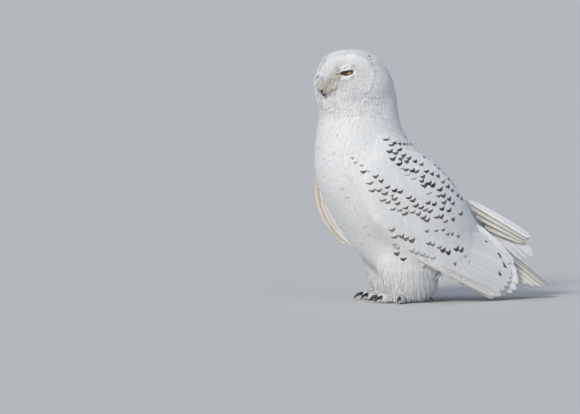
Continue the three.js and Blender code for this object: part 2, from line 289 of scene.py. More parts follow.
def featherFinish(name, barbs, streak, sheen, shaft=0.0):
    finish = Finish(name)
    tint = finish.attribute("tint", "Color")
    brown = finish.attribute("tint", "Alpha")
    across, along, seed = finish.parts(finish.attribute("vane"))
    slant = along - 0.35 * abs(across)
    barb = finish.noise(finish.joined(slant * barbs, across * 1.6, seed * 60), 1.0, 2.0)
    # crescents, thick in the middle, their ends toward the root, with an uneven edge
    mask = 0.0
    for mark in ("mark", "second"):
        markAcross, markAlong, strength = finish.parts(finish.attribute(mark))
        ragged = finish.noise(finish.joined(markAcross * 1.7, markAlong * 0.8, seed * 35), 1.0, 2.0) - 0.5
        bow = markAcross * markAcross
        middle = markAlong + bow * featherLook["bow"] + ragged * featherLook["uneven"]
        off = abs(middle) - (1 - bow * featherLook["thin"])
        inside = 1 - off.eased(-0.3, 0.25)
        crescent = inside * (1 - (abs(markAcross) + ragged * 0.4).eased(0.8, 1.08))
        mask = mask + crescent * strength
    soft = finish.shaded(tint, 1 - streak * (barb - 0.25).eased(0.1, 0.55))
    if shaft:
        rib = (1 - abs(across).eased(0.03, 0.09)) * (1 - along.eased(0.9, 0.98)) * shaft
        soft = finish.mixed(rib, soft, featherLook["shaft"])
    dark = finish.mixed(brown, featherLook["dark"], featherLook["brown"])
    return finish.surface({
        "Base Color": finish.mixed(mask.clamped(), soft, dark),
        "Roughness": 0.72 - 0.12 * barb,
        "Normal": finish.bump(barb, 0.3, 0.0003),
        "Subsurface Weight": featherLook["subsurface"],
        "Subsurface Radius": (1, 1, 1),
        "Subsurface Scale": 0.005,
        "Sheen Weight": sheen,
        "Sheen Roughness": 0.5,
        "Specular IOR Level": 0.25,
    })


irisLook = {
    "amber": (0.5, 0.25, 0.02),
    # the iris is painted darker round the pupil, standing in for the upper lid's shade
    "paintedShadeNearPupil": (0.12, 0.036, 0.005),
    "pupil": (0.008, 0.005, 0.004),
    "rim": (0.03, 0.018, 0.01),
    "pupilEdge": (4.8, 5.3),  # millimetres from the middle, where one colour passes into the next
    "amberEdge": (5.0, 8.6),
    "rimEdge": (10.2, 11.6),
    "paintedLidShade": 0.95,  # how dark the iris is painted under the upper lid, as the lid's shade
}


def eyeFinish():
    finish = Finish("iris")
    ring, turn, lift = finish.parts(finish.attribute("ring"))
    fibre = finish.noise(finish.joined(turn * 9, ring * 0.35, 0.0), 1.0, 3.0)
    reach = ring + (fibre - 0.5) * 0.5
    amber = finish.mixed(reach.eased(*irisLook["amberEdge"]), irisLook["paintedShadeNearPupil"], irisLook["amber"])
    # fibres vary the amber, and the iris is painted darker toward the upper lid as its shade
    shade = (0.78 + 0.5 * fibre) * (1.1 - irisLook["paintedLidShade"] * lift.eased(-0.35, 0.5))
    rimmed = finish.mixed(reach.eased(*irisLook["rimEdge"]), finish.shaded(amber, shade), irisLook["rim"])
    return finish.surface({
        "Base Color": finish.mixed(reach.eased(*irisLook["pupilEdge"]), irisLook["pupil"], rimmed),
        "Roughness": 0.08,
        "Coat Weight": 1.0,
        "Coat Roughness": 0.03,
    })


hornLook = {"dark": (0.011, 0.0105, 0.011), "worn": (0.035, 0.031, 0.028)}


def hornFinish():
    finish = Finish("horn")
    place = finish.place()
    grain = finish.noise(place, 900, 4.0)
    blotch = finish.noise(place, 140, 2.0)
    colour = finish.mixed(blotch.eased(0.35, 0.75), hornLook["dark"], hornLook["worn"])
    return finish.surface({
        "Base Color": finish.shaded(colour, 0.75 + 0.5 * grain),
        "Roughness": 0.26 + 0.22 * grain,
        "Normal": finish.bump(grain, 0.12, 0.0004),
        "Coat Weight": 0.25,
        "Coat Roughness": 0.2,
    })


def lidFinish():
    finish = Finish("lid")
    tint = finish.attribute("tint", "Color")
    crease = finish.noise(finish.place(), 700, 3.0)
    return finish.surface({
        "Base Color": finish.shaded(tint, 0.8 + 0.4 * crease),
        "Roughness": 0.5 + 0.15 * crease,
        "Normal": finish.bump(crease, 0.3, 0.0004),
    })


def floorFinish():
    finish = Finish("floor")
    cloud = finish.noise(finish.place(), 0.8, 2.0)
    colour = finish.mixed(cloud, (0.5, 0.5, 0.49), (0.53, 0.53, 0.52))
    return finish.surface({"Base Color": colour, "Roughness": 0.9, "Specular IOR Level": 0.1})


floor.data.materials.append(floorFinish())
# the number of barbs along a vane, how streaked they are, the sheen, and how dark the shaft is
downFinish = featherFinish("down", 5.0, 0.1, 0.2)
vaneFinish = featherFinish("contour_feather", 9.0, 0.09, 0.2)
quillFinish = featherFinish("flight_feather", 46.0, 0.13, 0.05, 0.75)
paleFinish = featherFinish("pale_flight_feather", 46.0, 0.13, 0.05, 0.18)
irisFinish = eyeFinish()
darkFinish = hornFinish()
rimFinish = lidFinish()
print("finishes ready")


# where the face is and which way it looks
eyeStyle = {
    "forward": 2.0,  # millimetres that the balls stand forward and outward of their solids
    "outward": 2.0,
    "turns": 72,  # points round a ball, and from its front to its back
    "rings": 48,
}
eyes = {side: middleOf("eye_" + side) for side in ("left", "right")}
faceLeft = unit(eyes["left"] - eyes["right"])
faceForward = unit(np.cross(faceLeft, [0, 0, 1]))
if dot(faceForward, middleOf("bill_upper") - middleOf("head"))[0] < 0:
    faceForward = -faceForward
faceUp = np.array([0, 0, 1.0])
eyesMiddle = (eyes["left"] + eyes["right"]) / 2
for side, sign in (("left", -1), ("right", 1)):
    shift = faceForward * eyeStyle["forward"] + faceLeft * sign * eyeStyle["outward"]
    eyes[side] = eyes[side] + shift * mm
eyeRadius = (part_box("eye_left")[1][2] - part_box("eye_left")[0][2]) / 2


def inFace(points):
    # forward, left and up of the middle between the eyes, in millimetres
    local = (points - eyesMiddle) / mm
    return local @ faceForward, local @ faceLeft, local @ faceUp


slit = {  # the opening between the lids, on the ball of the eye
    "outward": 40.0,  # degrees that it faces away from straight ahead
    "tilt": 8.0,  # the outer corner is higher
    "half": 75.0,  # degrees from its middle to a corner
    "upper": 11.0,  # degrees that it opens above and below its middle line
    "lower": 15.5,
    "gaze": 17.0,  # degrees outward that the pupil looks
    # the hull is drawn back to the ball where the lids part, and takes its own shape again over these degrees
    # past the corners and away from the middle line
    "past": (-4, 16),
    "away": (12, 36),
    "within": 24.0,  # millimetres from the ball's middle
    "proud": 0.8,  # and it stands so far off the ball
}


def eyeAxes(side, outward=slit["outward"]):
    sign = 1 if side == "left" else -1
    a = math.radians(outward)
    gaze = math.cos(a) * faceForward + sign * math.sin(a) * faceLeft
    out = -math.sin(a) * faceForward + sign * math.cos(a) * faceLeft
    b = math.radians(slit["tilt"])
    towardCorner = math.cos(b) * out + math.sin(b) * faceUp
    return gaze, towardCorner, math.cos(b) * faceUp - math.sin(b) * out


def eyeAngles(side, points):
    # degrees toward the outer corner and degrees up, seen from the middle of the eye
    gaze, out, up = eyeAxes(side)
    local = unit(points - eyes[side])
    sideways = np.arctan2(local @ out, local @ gaze)
    return np.degrees(sideways), np.degrees(np.arcsin(np.clip(local @ up, -1, 1)))


def lidEdge(sideways, upper):
    span = np.clip(1 - (sideways / slit["half"]) ** 2, 0, 1)
    return slit["upper"] * span ** 1.3 if upper else -slit["lower"] * span ** 1.6


# the hull, one closed surface through the solids, which the coat is combed along
hull = {
    # solids melted in turn; hollows narrower than twice the crease are filled
    "stages": [
        (["head", "neck", "trunk", "leg_left", "leg_right", "eye_left", "eye_right"], 15 * mm),
        (["wing_left", "wing_right"], 10 * mm),
        (["foot_left", "foot_right", "bill_upper"], 0),
    ],
    "voxel": 2.4 * mm,
    "rounds": 24,  # of smoothing, which takes the facets off
    "lastRounds": 6,  # after each change of shape
    "bodyRounds": 90,  # more of it away from the face and feet
    # plain smoothing: its rounds, the heights over which it sets in and stops, and along which axis and
    # from where to where it dies away
    "flows": [
        (90, ((0.085, 0.14), (0.30, 0.33)), ("x", -0.10, -0.01)),  # the breast over the front of the wings
        (70, ((0.30, 0.345), (0.39, 0.42)), ("forward", -22, 4)),  # the back of the head into the neck
        (160, ((0.036, 0.056), (0.12, 0.15)), ("x", -0.05, -0.02)),  # the belly into the legs
    ],
    # where the body's smoothing sets in: millimetres behind, below and beside the eyes, and metres above the
    # floor
    "faceBack": (-10, 12),
    "faceBottom": (-48, -38),
    "faceSide": 60,
    "feetTop": (0.03, 0.06),
    "ridge": 11 * mm,  # how far the feathers between the eyes stand forward, and over which stretch
    "ridgeWidth": 13,
    "ridgeBack": (0, 12),
    "ridgeBottom": (-36, -22),
    "ridgeTop": (8, 40),
    "nape": 8 * mm,  # how much fuller the nape is, at its height and over how much of it
    "napeHeight": 0.384,
    "napeReach": 0.028,
}
hullNodes = [name for names, _ in hull["stages"] for name in names]
# how deep the skin lies under the hull, in millimetres
coatDepth = {
    "head": 3.8, "neck": 5.5, "trunk": 6, "wing": 1.6, "leg": 5.5, "foot": 2.2, "eye": 2.5, "bill": 2.5,
    "blend": 12,  # rounds in which one depth passes into the next
}


def solidData(name):
    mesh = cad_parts[name].data
    points = np.empty(len(mesh.vertices) * 3, np.float32)
    mesh.vertices.foreach_get("co", points)
    mesh.calc_loop_triangles()
    faces = np.empty(len(mesh.loop_triangles) * 3, np.int32)
    mesh.loop_triangles.foreach_get("vertices", faces)
    return points.reshape(-1, 3).astype(float), faces.reshape(-1, 3)


def melted(shapes, voxel):
    # the given closed shapes as one skin of quads
    loops, totals, start = [], [], 0
    for points, faces in shapes:
        loops.append((faces + start).ravel())
        totals.append(np.full(len(faces), faces.shape[1]))
        start += len(points)
    every = np.concatenate([points for points, _ in shapes])
    piece = linked("melt", meshOf("melt", every, np.concatenate(loops), np.concatenate(totals)))
    remesh = piece.modifiers.new("melt", "REMESH")
    remesh.mode = "VOXEL"
    remesh.voxel_size = voxel
    graph = bpy.context.evaluated_depsgraph_get()
    mesh = bpy.data.meshes.new_from_object(piece.evaluated_get(graph))
    bpy.data.objects.remove(piece)
    out = np.empty(len(mesh.vertices) * 3, np.float32)
    mesh.vertices.foreach_get("co", out)
    quads = np.empty(len(mesh.loops), np.int32)
    mesh.loops.foreach_get("vertex_index", quads)
    return out.reshape(-1, 3).astype(float), quads.reshape(-1, 4)


def neighbourMean(quads, count):
    pairs = np.concatenate([quads[:, [k, (k + 1) % 4]] for k in range(4)])
    degree = np.bincount(pairs[:, 0], minlength=count)

    def mean(values):
        columns = values.reshape(count, -1)
        total = [np.bincount(pairs[:, 0], column[pairs[:, 1]], count) for column in columns.T]
        return (np.stack(total, 1) / degree[:, None]).reshape(values.shape)

    return mean


def smoothed(points, mean, rounds):
    # each round draws in and then pushes out, which takes off facets and keeps the size
    for _ in range(rounds):
        points = points + 0.55 * (mean(points) - points)
        points = points - 0.57 * (mean(points) - points)
    return points


def normalsOf(points, quads):
    a, b, c, d = (points[quads[:, k]] for k in range(4))
    faceNormal = np.cross(c - a, d - b)
    total = np.zeros_like(points)
    for k in range(4):
        for axis in range(3):
            total[:, axis] += np.bincount(quads[:, k], faceNormal[:, axis], len(points))
    return unit(total)


def offset(points, quads, reach):
    points = smoothed(points, neighbourMean(quads, len(points)), hull["lastRounds"])
    return points + normalsOf(points, quads) * reach, quads


shapes = []
for names, crease in hull["stages"]:
    shapes = [melted(shapes + [solidData(name) for name in names], hull["voxel"])]
    if crease:
        wide = melted([offset(*shapes[0], crease)], hull["voxel"])
        shapes = [offset(*wide, -crease)]
hullPoints, hullQuads = shapes[0]
hullMean = neighbourMean(hullQuads, len(hullPoints))
hullPoints = smoothed(hullPoints, hullMean, hull["rounds"])
forward, left, up = inFace(hullPoints)
still = ease(forward, *hull["faceBack"]) * ease(up, *hull["faceBottom"]) * (np.abs(left) < hull["faceSide"])
still = np.maximum(still, 1 - ease(hullPoints[:, 2], *hull["feetTop"]))[:, None]
hullPoints = lerp(smoothed(hullPoints, hullMean, hull["bodyRounds"]), hullPoints, still)
over = {"x": hullPoints[:, 0], "z": hullPoints[:, 2], "forward": forward}
for rounds, (low, high), (axis, *front) in hull["flows"]:
    where = ease(over["z"], *low) * (1 - ease(over["z"], *high)) * (1 - ease(over[axis], *front))
    for _ in range(rounds):
        hullPoints = hullPoints + 0.5 * where[:, None] * (hullMean(hullPoints) - hullPoints)
ridge = np.exp(-(left / hull["ridgeWidth"]) ** 2) * ease(up, *hull["ridgeBottom"])
ridge = ridge * (1 - ease(up, *hull["ridgeTop"])) * ease(forward, *hull["ridgeBack"])
hullPoints = hullPoints + faceForward * (hull["ridge"] * ridge)[:, None]
nape = np.exp(-((hullPoints[:, 2] - hull["napeHeight"]) / hull["napeReach"]) ** 2)
hullNormals = normalsOf(hullPoints, hullQuads)
fuller = hull["nape"] * nape * ease(hullNormals[:, 0], -0.2, 0.7)
hullPoints = hullPoints + hullNormals * fuller[:, None]
for side in eyes:
    sideways, height = eyeAngles(side, hullPoints)
    away = hullPoints - eyes[side]
    reach = np.linalg.norm(away, axis=1)
    gap = 1 - ease(np.abs(sideways) - slit["half"], *slit["past"])
    gap = gap * (1 - ease(np.abs(height), *slit["away"]))
    gap = gap * (away @ (faceForward + 0.5 * faceLeft * (1 if side == "left" else -1)) > 0)
    seat = np.minimum(reach, eyeRadius + slit["proud"] * mm)
    seat = np.where(reach < slit["within"] * mm, seat, reach)
    hullPoints = eyes[side] + away * (lerp(reach, seat, gap) / reach)[:, None]
hullPoints = smoothed(hullPoints, hullMean, hull["lastRounds"])
hullNormals = normalsOf(hullPoints, hullQuads)
hullTree = BVHTree.FromPolygons(hullPoints.tolist(), hullQuads.tolist())
quadNormals = unit(hullNormals[hullQuads].mean(1))

# which solid each quad of the hull comes from
soup, soupFaces, soupNode, start = [], [], [], 0
for index, name in enumerate(hullNodes):
    points, faces = solidData(name)
    soup.append(points)
    soupFaces.append(faces + start)
    soupNode += [index] * len(faces)
    start += len(points)
solidTree = BVHTree.FromPolygons(np.concatenate(soup).tolist(), np.concatenate(soupFaces).tolist())
quadMiddles = hullPoints[hullQuads].mean(1)
quadNode = np.array([soupNode[solidTree.find_nearest(p)[2]] for p in quadMiddles.tolist()])
depthOfNode = np.array([coatDepth[name.split("_")[0]] for name in hullNodes]) * mm
pointDepth = np.zeros(len(hullPoints))
hits = np.zeros(len(hullPoints))
for k in range(4):
    pointDepth += np.bincount(hullQuads[:, k], depthOfNode[quadNode], len(hullPoints))
    hits += np.bincount(hullQuads[:, k], minlength=len(hullPoints))
pointDepth /= hits
for _ in range(coatDepth["blend"]):
    pointDepth = hullMean(pointDepth)
quadDepth = pointDepth[hullQuads].mean(1)
print("hull", len(hullPoints), "points")

skinPoints = hullPoints - hullNormals * pointDepth[:, None]
skinPoints = smoothed(skinPoints, hullMean, hull["lastRounds"])


def clung(points):
    # the nearest places on the hull and its normals there
    found = [hullTree.find_nearest(p) for p in points.tolist()]
    return np.array([f[0] for f in found]), quadNormals[[f[2] for f in found]]


def toward(forward, left, up):
    return forward[..., None] * faceForward + left[..., None] * faceLeft + up[..., None] * faceUp


# the lie of the coat: at each place the feathers point this way
lieGuides = [
    # node, place in its box, direction
    ("head", (0.9, 0.5, 0.9), (0.85, 0.1, -0.5)),
    ("head", (1.0, 0.5, 0.5), (0.25, 0, -1)),
    ("head", (0.5, 0.5, 1.0), (1, 0.2, 0)),
    ("head", (0.6, 0.0, 0.4), (0.45, 0, -0.9)),
    ("head", (0.6, 1.0, 0.4), (0.45, 0, -0.9)),
    ("neck", (0.0, 0.5, 0.4), (-0.05, 0, -1)),
    ("neck", (1.0, 0.5, 0.5), (0.35, 0, -0.95)),
    ("neck", (0.5, 0.0, 0.4), (0.25, 0, -1)),
    ("neck", (0.5, 1.0, 0.4), (0.25, 0, -1)),
    ("trunk", (0.0, 0.5, 0.75), (0.05, 0, -1)),
    ("trunk", (0.05, 0.5, 0.5), (0.3, 0, -1)),
    ("trunk", (0.2, 0.5, 0.2), (0.6, 0, -0.8)),
    ("trunk", (0.45, 0.5, 0.0), (0.85, 0, -0.5)),
    ("trunk", (0.2, 0.0, 0.5), (0.4, 0, -0.92)),
    ("trunk", (0.2, 1.0, 0.5), (0.4, 0, -0.92)),
    ("trunk", (0.75, 0.5, 0.7), (0.62, 0, -0.78)),
    ("trunk", (1.0, 0.5, 0.3), (0.76, 0, -0.65)),
    ("wing_left", (0.1, 0.0, 0.85), (0.4, 0, -0.92)),
    ("wing_left", (0.3, 0.0, 0.5), (0.6, 0, -0.8)),
    ("wing_left", (0.7, 0.3, 0.4), (0.68, 0, -0.73)),
    ("wing_left", (0.9, 0.4, 0.15), (0.74, 0, -0.67)),
    ("wing_right", (0.1, 1.0, 0.85), (0.4, 0, -0.92)),
    ("wing_right", (0.3, 1.0, 0.5), (0.6, 0, -0.8)),
    ("wing_right", (0.7, 0.7, 0.4), (0.74, 0, -0.67)),
    ("wing_right", (0.9, 0.6, 0.15), (0.84, 0, -0.54)),
    ("leg_left", (0.5, 0.0, 0.4), (0.08, -0.06, -1)),
    ("leg_left", (0.0, 0.5, 0.4), (-0.1, 0, -1)),
    ("leg_left", (1.0, 0.5, 0.4), (0.25, 0, -1)),
    ("leg_right", (0.5, 1.0, 0.4), (0.08, 0.06, -1)),
    ("leg_right", (0.0, 0.5, 0.4), (-0.1, 0, -1)),
    ("leg_right", (1.0, 0.5, 0.4), (0.25, 0, -1)),
]
guidePlaces = np.array([boxPoint(node, *place) for node, place, _ in lieGuides])
guideWays = unit(np.array([way for _, _, way in lieGuides], float))

# the ring of feathers round each eye: millimetres from the eye to its middle, and its radius
disc = {"out": 7.0, "down": 8.0, "radius": 40.0}


def faceDistance(points):
    return np.minimum(*[np.linalg.norm(points - eyes[s], axis=1) for s in eyes]) / mm


def discDistance(points):
    # from the middle of the nearer ring, in millimetres
    middles = [eyes[s] + (faceLeft * sign * disc["out"] - faceUp * disc["down"]) * mm
               for s, sign in (("left", 1), ("right", -1))]
    return np.minimum(*[np.linalg.norm(points - middle, axis=1) for middle in middles]) / mm


def inSlit(points, margin):
    # whether points lie over the opening between the lids or within some degrees of it
    inside = np.zeros(len(points), bool)
    for side in eyes:
        sideways, height = eyeAngles(side, points)
        near = np.linalg.norm(points - eyes[side], axis=1) < eyeRadius + 6 * mm
        between = height < lidEdge(sideways, True) + 3 * margin
        between &= height > lidEdge(sideways, False) - margin
        inside |= near & between & (np.abs(sideways) < slit["half"] + 2 * margin)
    return inside


def headLie(points, ways):
    # inside the discs the feathers lie outwards from the slit
    left = inFace(points)[1]
    sign = np.where(left > 0, 1.0, -1.0)
    for side, s in (("left", 1.0), ("right", -1.0)):
        _, out, _ = eyeAxes(side)
        local = points - eyes[side]
        along = np.clip(local @ out, -8 * mm, 8 * mm)
        away = local - along[:, None] * out
        near = (1 - ease(discDistance(points), disc["radius"] - 4, disc["radius"] + 6)) * (sign == s)
        damp = ease(np.abs(left), 1, 15)
        awayLeft = (away @ faceLeft)[:, None] * faceLeft
        radial = unit(away - (1 - damp)[:, None] * awayLeft + 0.003 * (1 - damp)[:, None] * faceForward)
        ways = unit(lerp(ways, radial, near[:, None]))
    return ways


def lieAt(points, nodes):
    gaps = ((points[:, None] - guidePlaces[None]) ** 2).sum(-1)
    weights = 1 / (gaps + 1e-4) ** 1.5
    ways = unit(weights @ guideWays)
    names = np.array(hullNodes)[nodes]
    onHead = np.isin(names, ["head", "eye_left", "eye_right", "bill_upper", "neck"])
    if onHead.any():
        ways[onHead] = headLie(points[onHead], ways[onHead])
    for side in ("left", "right"):
        on = names == "foot_" + side
        ankle = boxPoint("foot_" + side, 0.6, 0.5, 0.9)
        ways[on] = unit(points[on] - ankle + [-0.004, 0, -0.012])
    return ways


def template(columns, rows):
    # a closed vane: a domed top of quads and a flat underside from edge to edge
    last = columns - 1
    faces = []
    for r in range(rows - 1):
        for c in range(last):
            a, b = r * columns + c, (r + 1) * columns + c
            faces.append([a, b, b + 1, a + 1])
        faces.append([r * columns, r * columns + last, (r + 1) * columns + last, (r + 1) * columns])
    tip = (rows - 1) * columns
    faces.append([tip + c for c in range(last, -1, -1)])
    faces.append(list(range(columns)))
    return faces


def combed(roots, normals, lies, lengths, rows, bend, sway):
    # the middle line of each feather, laid on the hull from its root; it bends by at most so much a step
    step = lengths[:, None] / (rows - 1)
    way = unit(lies - dot(lies, normals) * normals)
    side = np.cross(normals, way)
    way = unit(way + side * sway[:, None])
    places, ups, ways, offs = [roots], [normals], [way], [np.zeros(len(roots))]
    limit = math.radians(bend)
    for _ in range(rows - 1):
        free = places[-1] + ways[-1] * step
        near, nearNormal = clung(free)
        angle = np.arccos(np.clip(dot(ups[-1], nearNormal), -1, 1))
        share = np.clip(limit / np.maximum(angle, 1e-6), 0, 1)
        far = np.linalg.norm(near - free, axis=1, keepdims=True) > 0.6 * step + 2 * mm
        share = np.where(far, 0.3 * share, share)
        up = unit(lerp(ups[-1], nearNormal, share))
        place = lerp(free, near, np.where(share < 1, 0.25 * share, 1))
        way = unit(ways[-1] - dot(ways[-1], up) * up)
        places.append(place)
        ups.append(up)
        ways.append(way)
        offs.append(np.linalg.norm(near - place, axis=1))
    return [np.stack(part, 1) for part in (places, ups, ways, offs)]


def vanes(name, style, paths, widths, depth, tint, marked, uvPlace, finish):
    # closed vanes along the given middle lines; paths are places, ups and ways, each feather by row by axis
    middle, ups, ways, offs = paths
    count = len(middle)
    rowPlaces = np.array(style["rows"])
    columns = style["columns"]
    sides = np.cross(ups, ways)
    lengths = np.linalg.norm(np.diff(middle, axis=1), axis=2).sum(1)[:, None, None]
    t = rowPlaces[None, :, None]
    s = np.linspace(-1, 1, columns)[None, None, :]
    profile = np.interp(rowPlaces, *style["taper"])[None, :, None]
    halfWidth = widths[:, None, None] / 2 * profile
    proud = style["proud"] * mm * (1 + 0.5 * chance.random(count))[:, None, None]
    lift = proud * t ** 2 - depth[:, None, None] * (1 - t) ** style["rise"]
    lift = lift + style["curl"] * mm * t ** 3 * chance.random(count)[:, None, None]
    dome = style["dome"] * halfWidth * (0.4 - s ** 2)
    ragged = chance.normal(0, 1, (count, 1, columns)) * style["ragged"] * t ** 3
    slide = -(style["round"] * s ** 2 + ragged) * t ** 1.5 * np.minimum(lengths, 2 * widths[:, None, None])
    body = middle[:, :, None] + sides[:, :, None] * (s * halfWidth)[..., None]
    body = body + ways[:, :, None] * slide[..., None]
    rising = np.broadcast_to(ups[:, :, None], body.shape)
    if style.get("wraps"):  # the vane follows the round of the body from edge to edge
        near, nearNormal = clung(body.reshape(-1, 3))
        near, nearNormal = near.reshape(body.shape), nearNormal.reshape(body.shape)
        gap = np.linalg.norm(near - body, axis=-1)
        hug = (1 - ease(offs, 0.8 * mm, 3 * mm))[:, :, None] * (1 - ease(gap / halfWidth, 0.5, 1.0))
        body = lerp(body, near, hug[..., None])
        rising = unit(lerp(rising, nearNormal, hug[..., None]))
    rib = style.get("shaft", 0) * mm * (s == 0) * (1 - t)
    body = body + rising * (lift + dome + rib)[..., None]
    body[..., 2] = np.maximum(body[..., 2], 0.25 * mm)
    faces = template(columns, len(rowPlaces))
    perFeather = columns * len(rowPlaces)
    loops = np.concatenate(faces)
    allLoops = (loops[None] + np.arange(count)[:, None] * perFeather).ravel()
    totals = np.tile([len(f) for f in faces], count)
    mesh = meshOf(name, body.reshape(-1, 3), allLoops, totals)
    local = np.arange(perFeather)
    outline = (local % columns % (columns - 1) == 0) | (local < columns) | (local >= perFeather - columns)
    sharpEdges(mesh, np.tile(outline, count))
    grid = np.ones((count, len(rowPlaces), columns))
    seed = chance.random(count)[:, None, None]
    pointData(mesh, "vane", np.stack([grid * s, grid * t, grid * seed], -1).reshape(-1, 3))
    marks, brown = marked(body, s * grid, t * grid, lengths)
    pointData(mesh, "mark", marks[0].reshape(-1, 3))
    pointData(mesh, "second", marks[1].reshape(-1, 3))
    tints = np.repeat(tint, perFeather, axis=0)
    if "stain" in style:
        tints = style["stain"](body.reshape(-1, 3), tints, np.repeat(chance.random(count), perFeather))
    pointData(mesh, "tint", np.column_stack([tints, np.repeat(brown, perFeather)]))
    if uvPlace is None:  # big feathers each fill a strip of the map
        wide = 1 / count
        u = (np.arange(count)[:, None, None] + 0.5 + 0.46 * s) * wide * grid
        v = (0.02 + 0.96 * t) * grid
    else:  # the others a small patch at their root's place
        patch = 0.003
        u = uvPlace[:, 0, None, None] + 0.5 * s * patch * grid
        v = uvPlace[:, 1, None, None] + (t - 0.5) * patch * grid
    uv = 0.004 + 0.992 * np.stack([u, v], -1).reshape(-1, 2)
    corner = np.empty(len(mesh.loops), np.int32)
    mesh.loops.foreach_get("vertex_index", corner)
    mapped(mesh, uv[corner])
    mesh.materials.append(finish)
    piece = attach(linked(name, mesh), "root")
    print(name, count, "feathers,", int((totals - 2).sum()), "triangles")
    return piece


triesPerRoot = 4


def scattered(choose, spacing):
    # roots spread evenly over the chosen quads; their spacing in millimetres may differ from place to place
    a, b, c, d = (hullPoints[hullQuads[:, k]] for k in range(4))
    area = np.linalg.norm(np.cross(c - a, d - b), axis=1) / 2
    gap = np.broadcast_to(spacing, len(quadMiddles)) * mm
    weight = np.where(choose, area / gap ** 2, 0)
    total = int(weight.sum() * triesPerRoot)
    picked = chance.choice(len(weight), total, p=weight / weight.sum())
    u, v = chance.random((2, total, 1))
    a, b, c, d = (hullPoints[hullQuads[picked, k]] for k in range(4))
    places = lerp(lerp(a, b, u), lerp(d, c, u), v)
    gaps = gap[picked]
    tree = KDTree(total)
    for i, p in enumerate(places.tolist()):
        tree.insert(p, i)
    tree.balance()
    taken = np.zeros(total, bool)
    kept = []
    for i in range(total):
        if taken[i]:
            continue
        kept.append(i)
        for _, j, _ in tree.find_range(places[i], gaps[i]):
            taken[j] = True
    return places[kept], quadNormals[picked[kept]], picked[kept]


quadName = np.array(hullNodes)[quadNode]


def onNodes(*names):
    return np.isin(quadName, names)


def octahedral(points, faces=None):
    # an unwrap of points round their middle onto a square, as an opened octahedron; with faces it goes
    # corner by corner, and each face is kept whole where the map is folded
    d = points - points.mean(0)
    d = d / np.abs(d).sum(1, keepdims=True)
    corner, centre = (d, d) if faces is None else (d[faces], d[faces].mean(1)[:, None])
    x, y, z = (corner[..., k] for k in range(3))
    sx, sy = (np.where(centre[..., k] >= 0, 1, -1) for k in range(2))
    u = np.where(z < 0, (1 - y * sy) * sx, x)
    v = np.where(z < 0, (1 - x * sx) * sy, y)
    both = np.stack([u, v], -1)
    low, high = both.reshape(-1, 2).min(0), both.reshape(-1, 2).max(0)
    return 0.01 + 0.98 * (both - low) / (high - low)


# colours of the coat
plumageWhite = np.array([0.84, 0.84, 0.83])
cream = np.array([0.74, 0.67, 0.52])
tan = np.array([0.50, 0.34, 0.17])
# grey of the flecks behind the face's rim, which also paint the rim's shade
fleckAndShadeGrey = np.array([0.36, 0.36, 0.37])
brightest = 0.93
unlike = {"shade": 0.02, "warmth": 0.006}  # how much one feather's white differs from the next


def plainTint(count):
    shade = 1 + chance.normal(0, unlike["shade"], count)
    warm = chance.normal(0, unlike["warmth"], count)
    tint = plumageWhite * shade[:, None] + np.column_stack([warm, warm * 0.3, -warm])
    return np.clip(tint, 0, brightest)


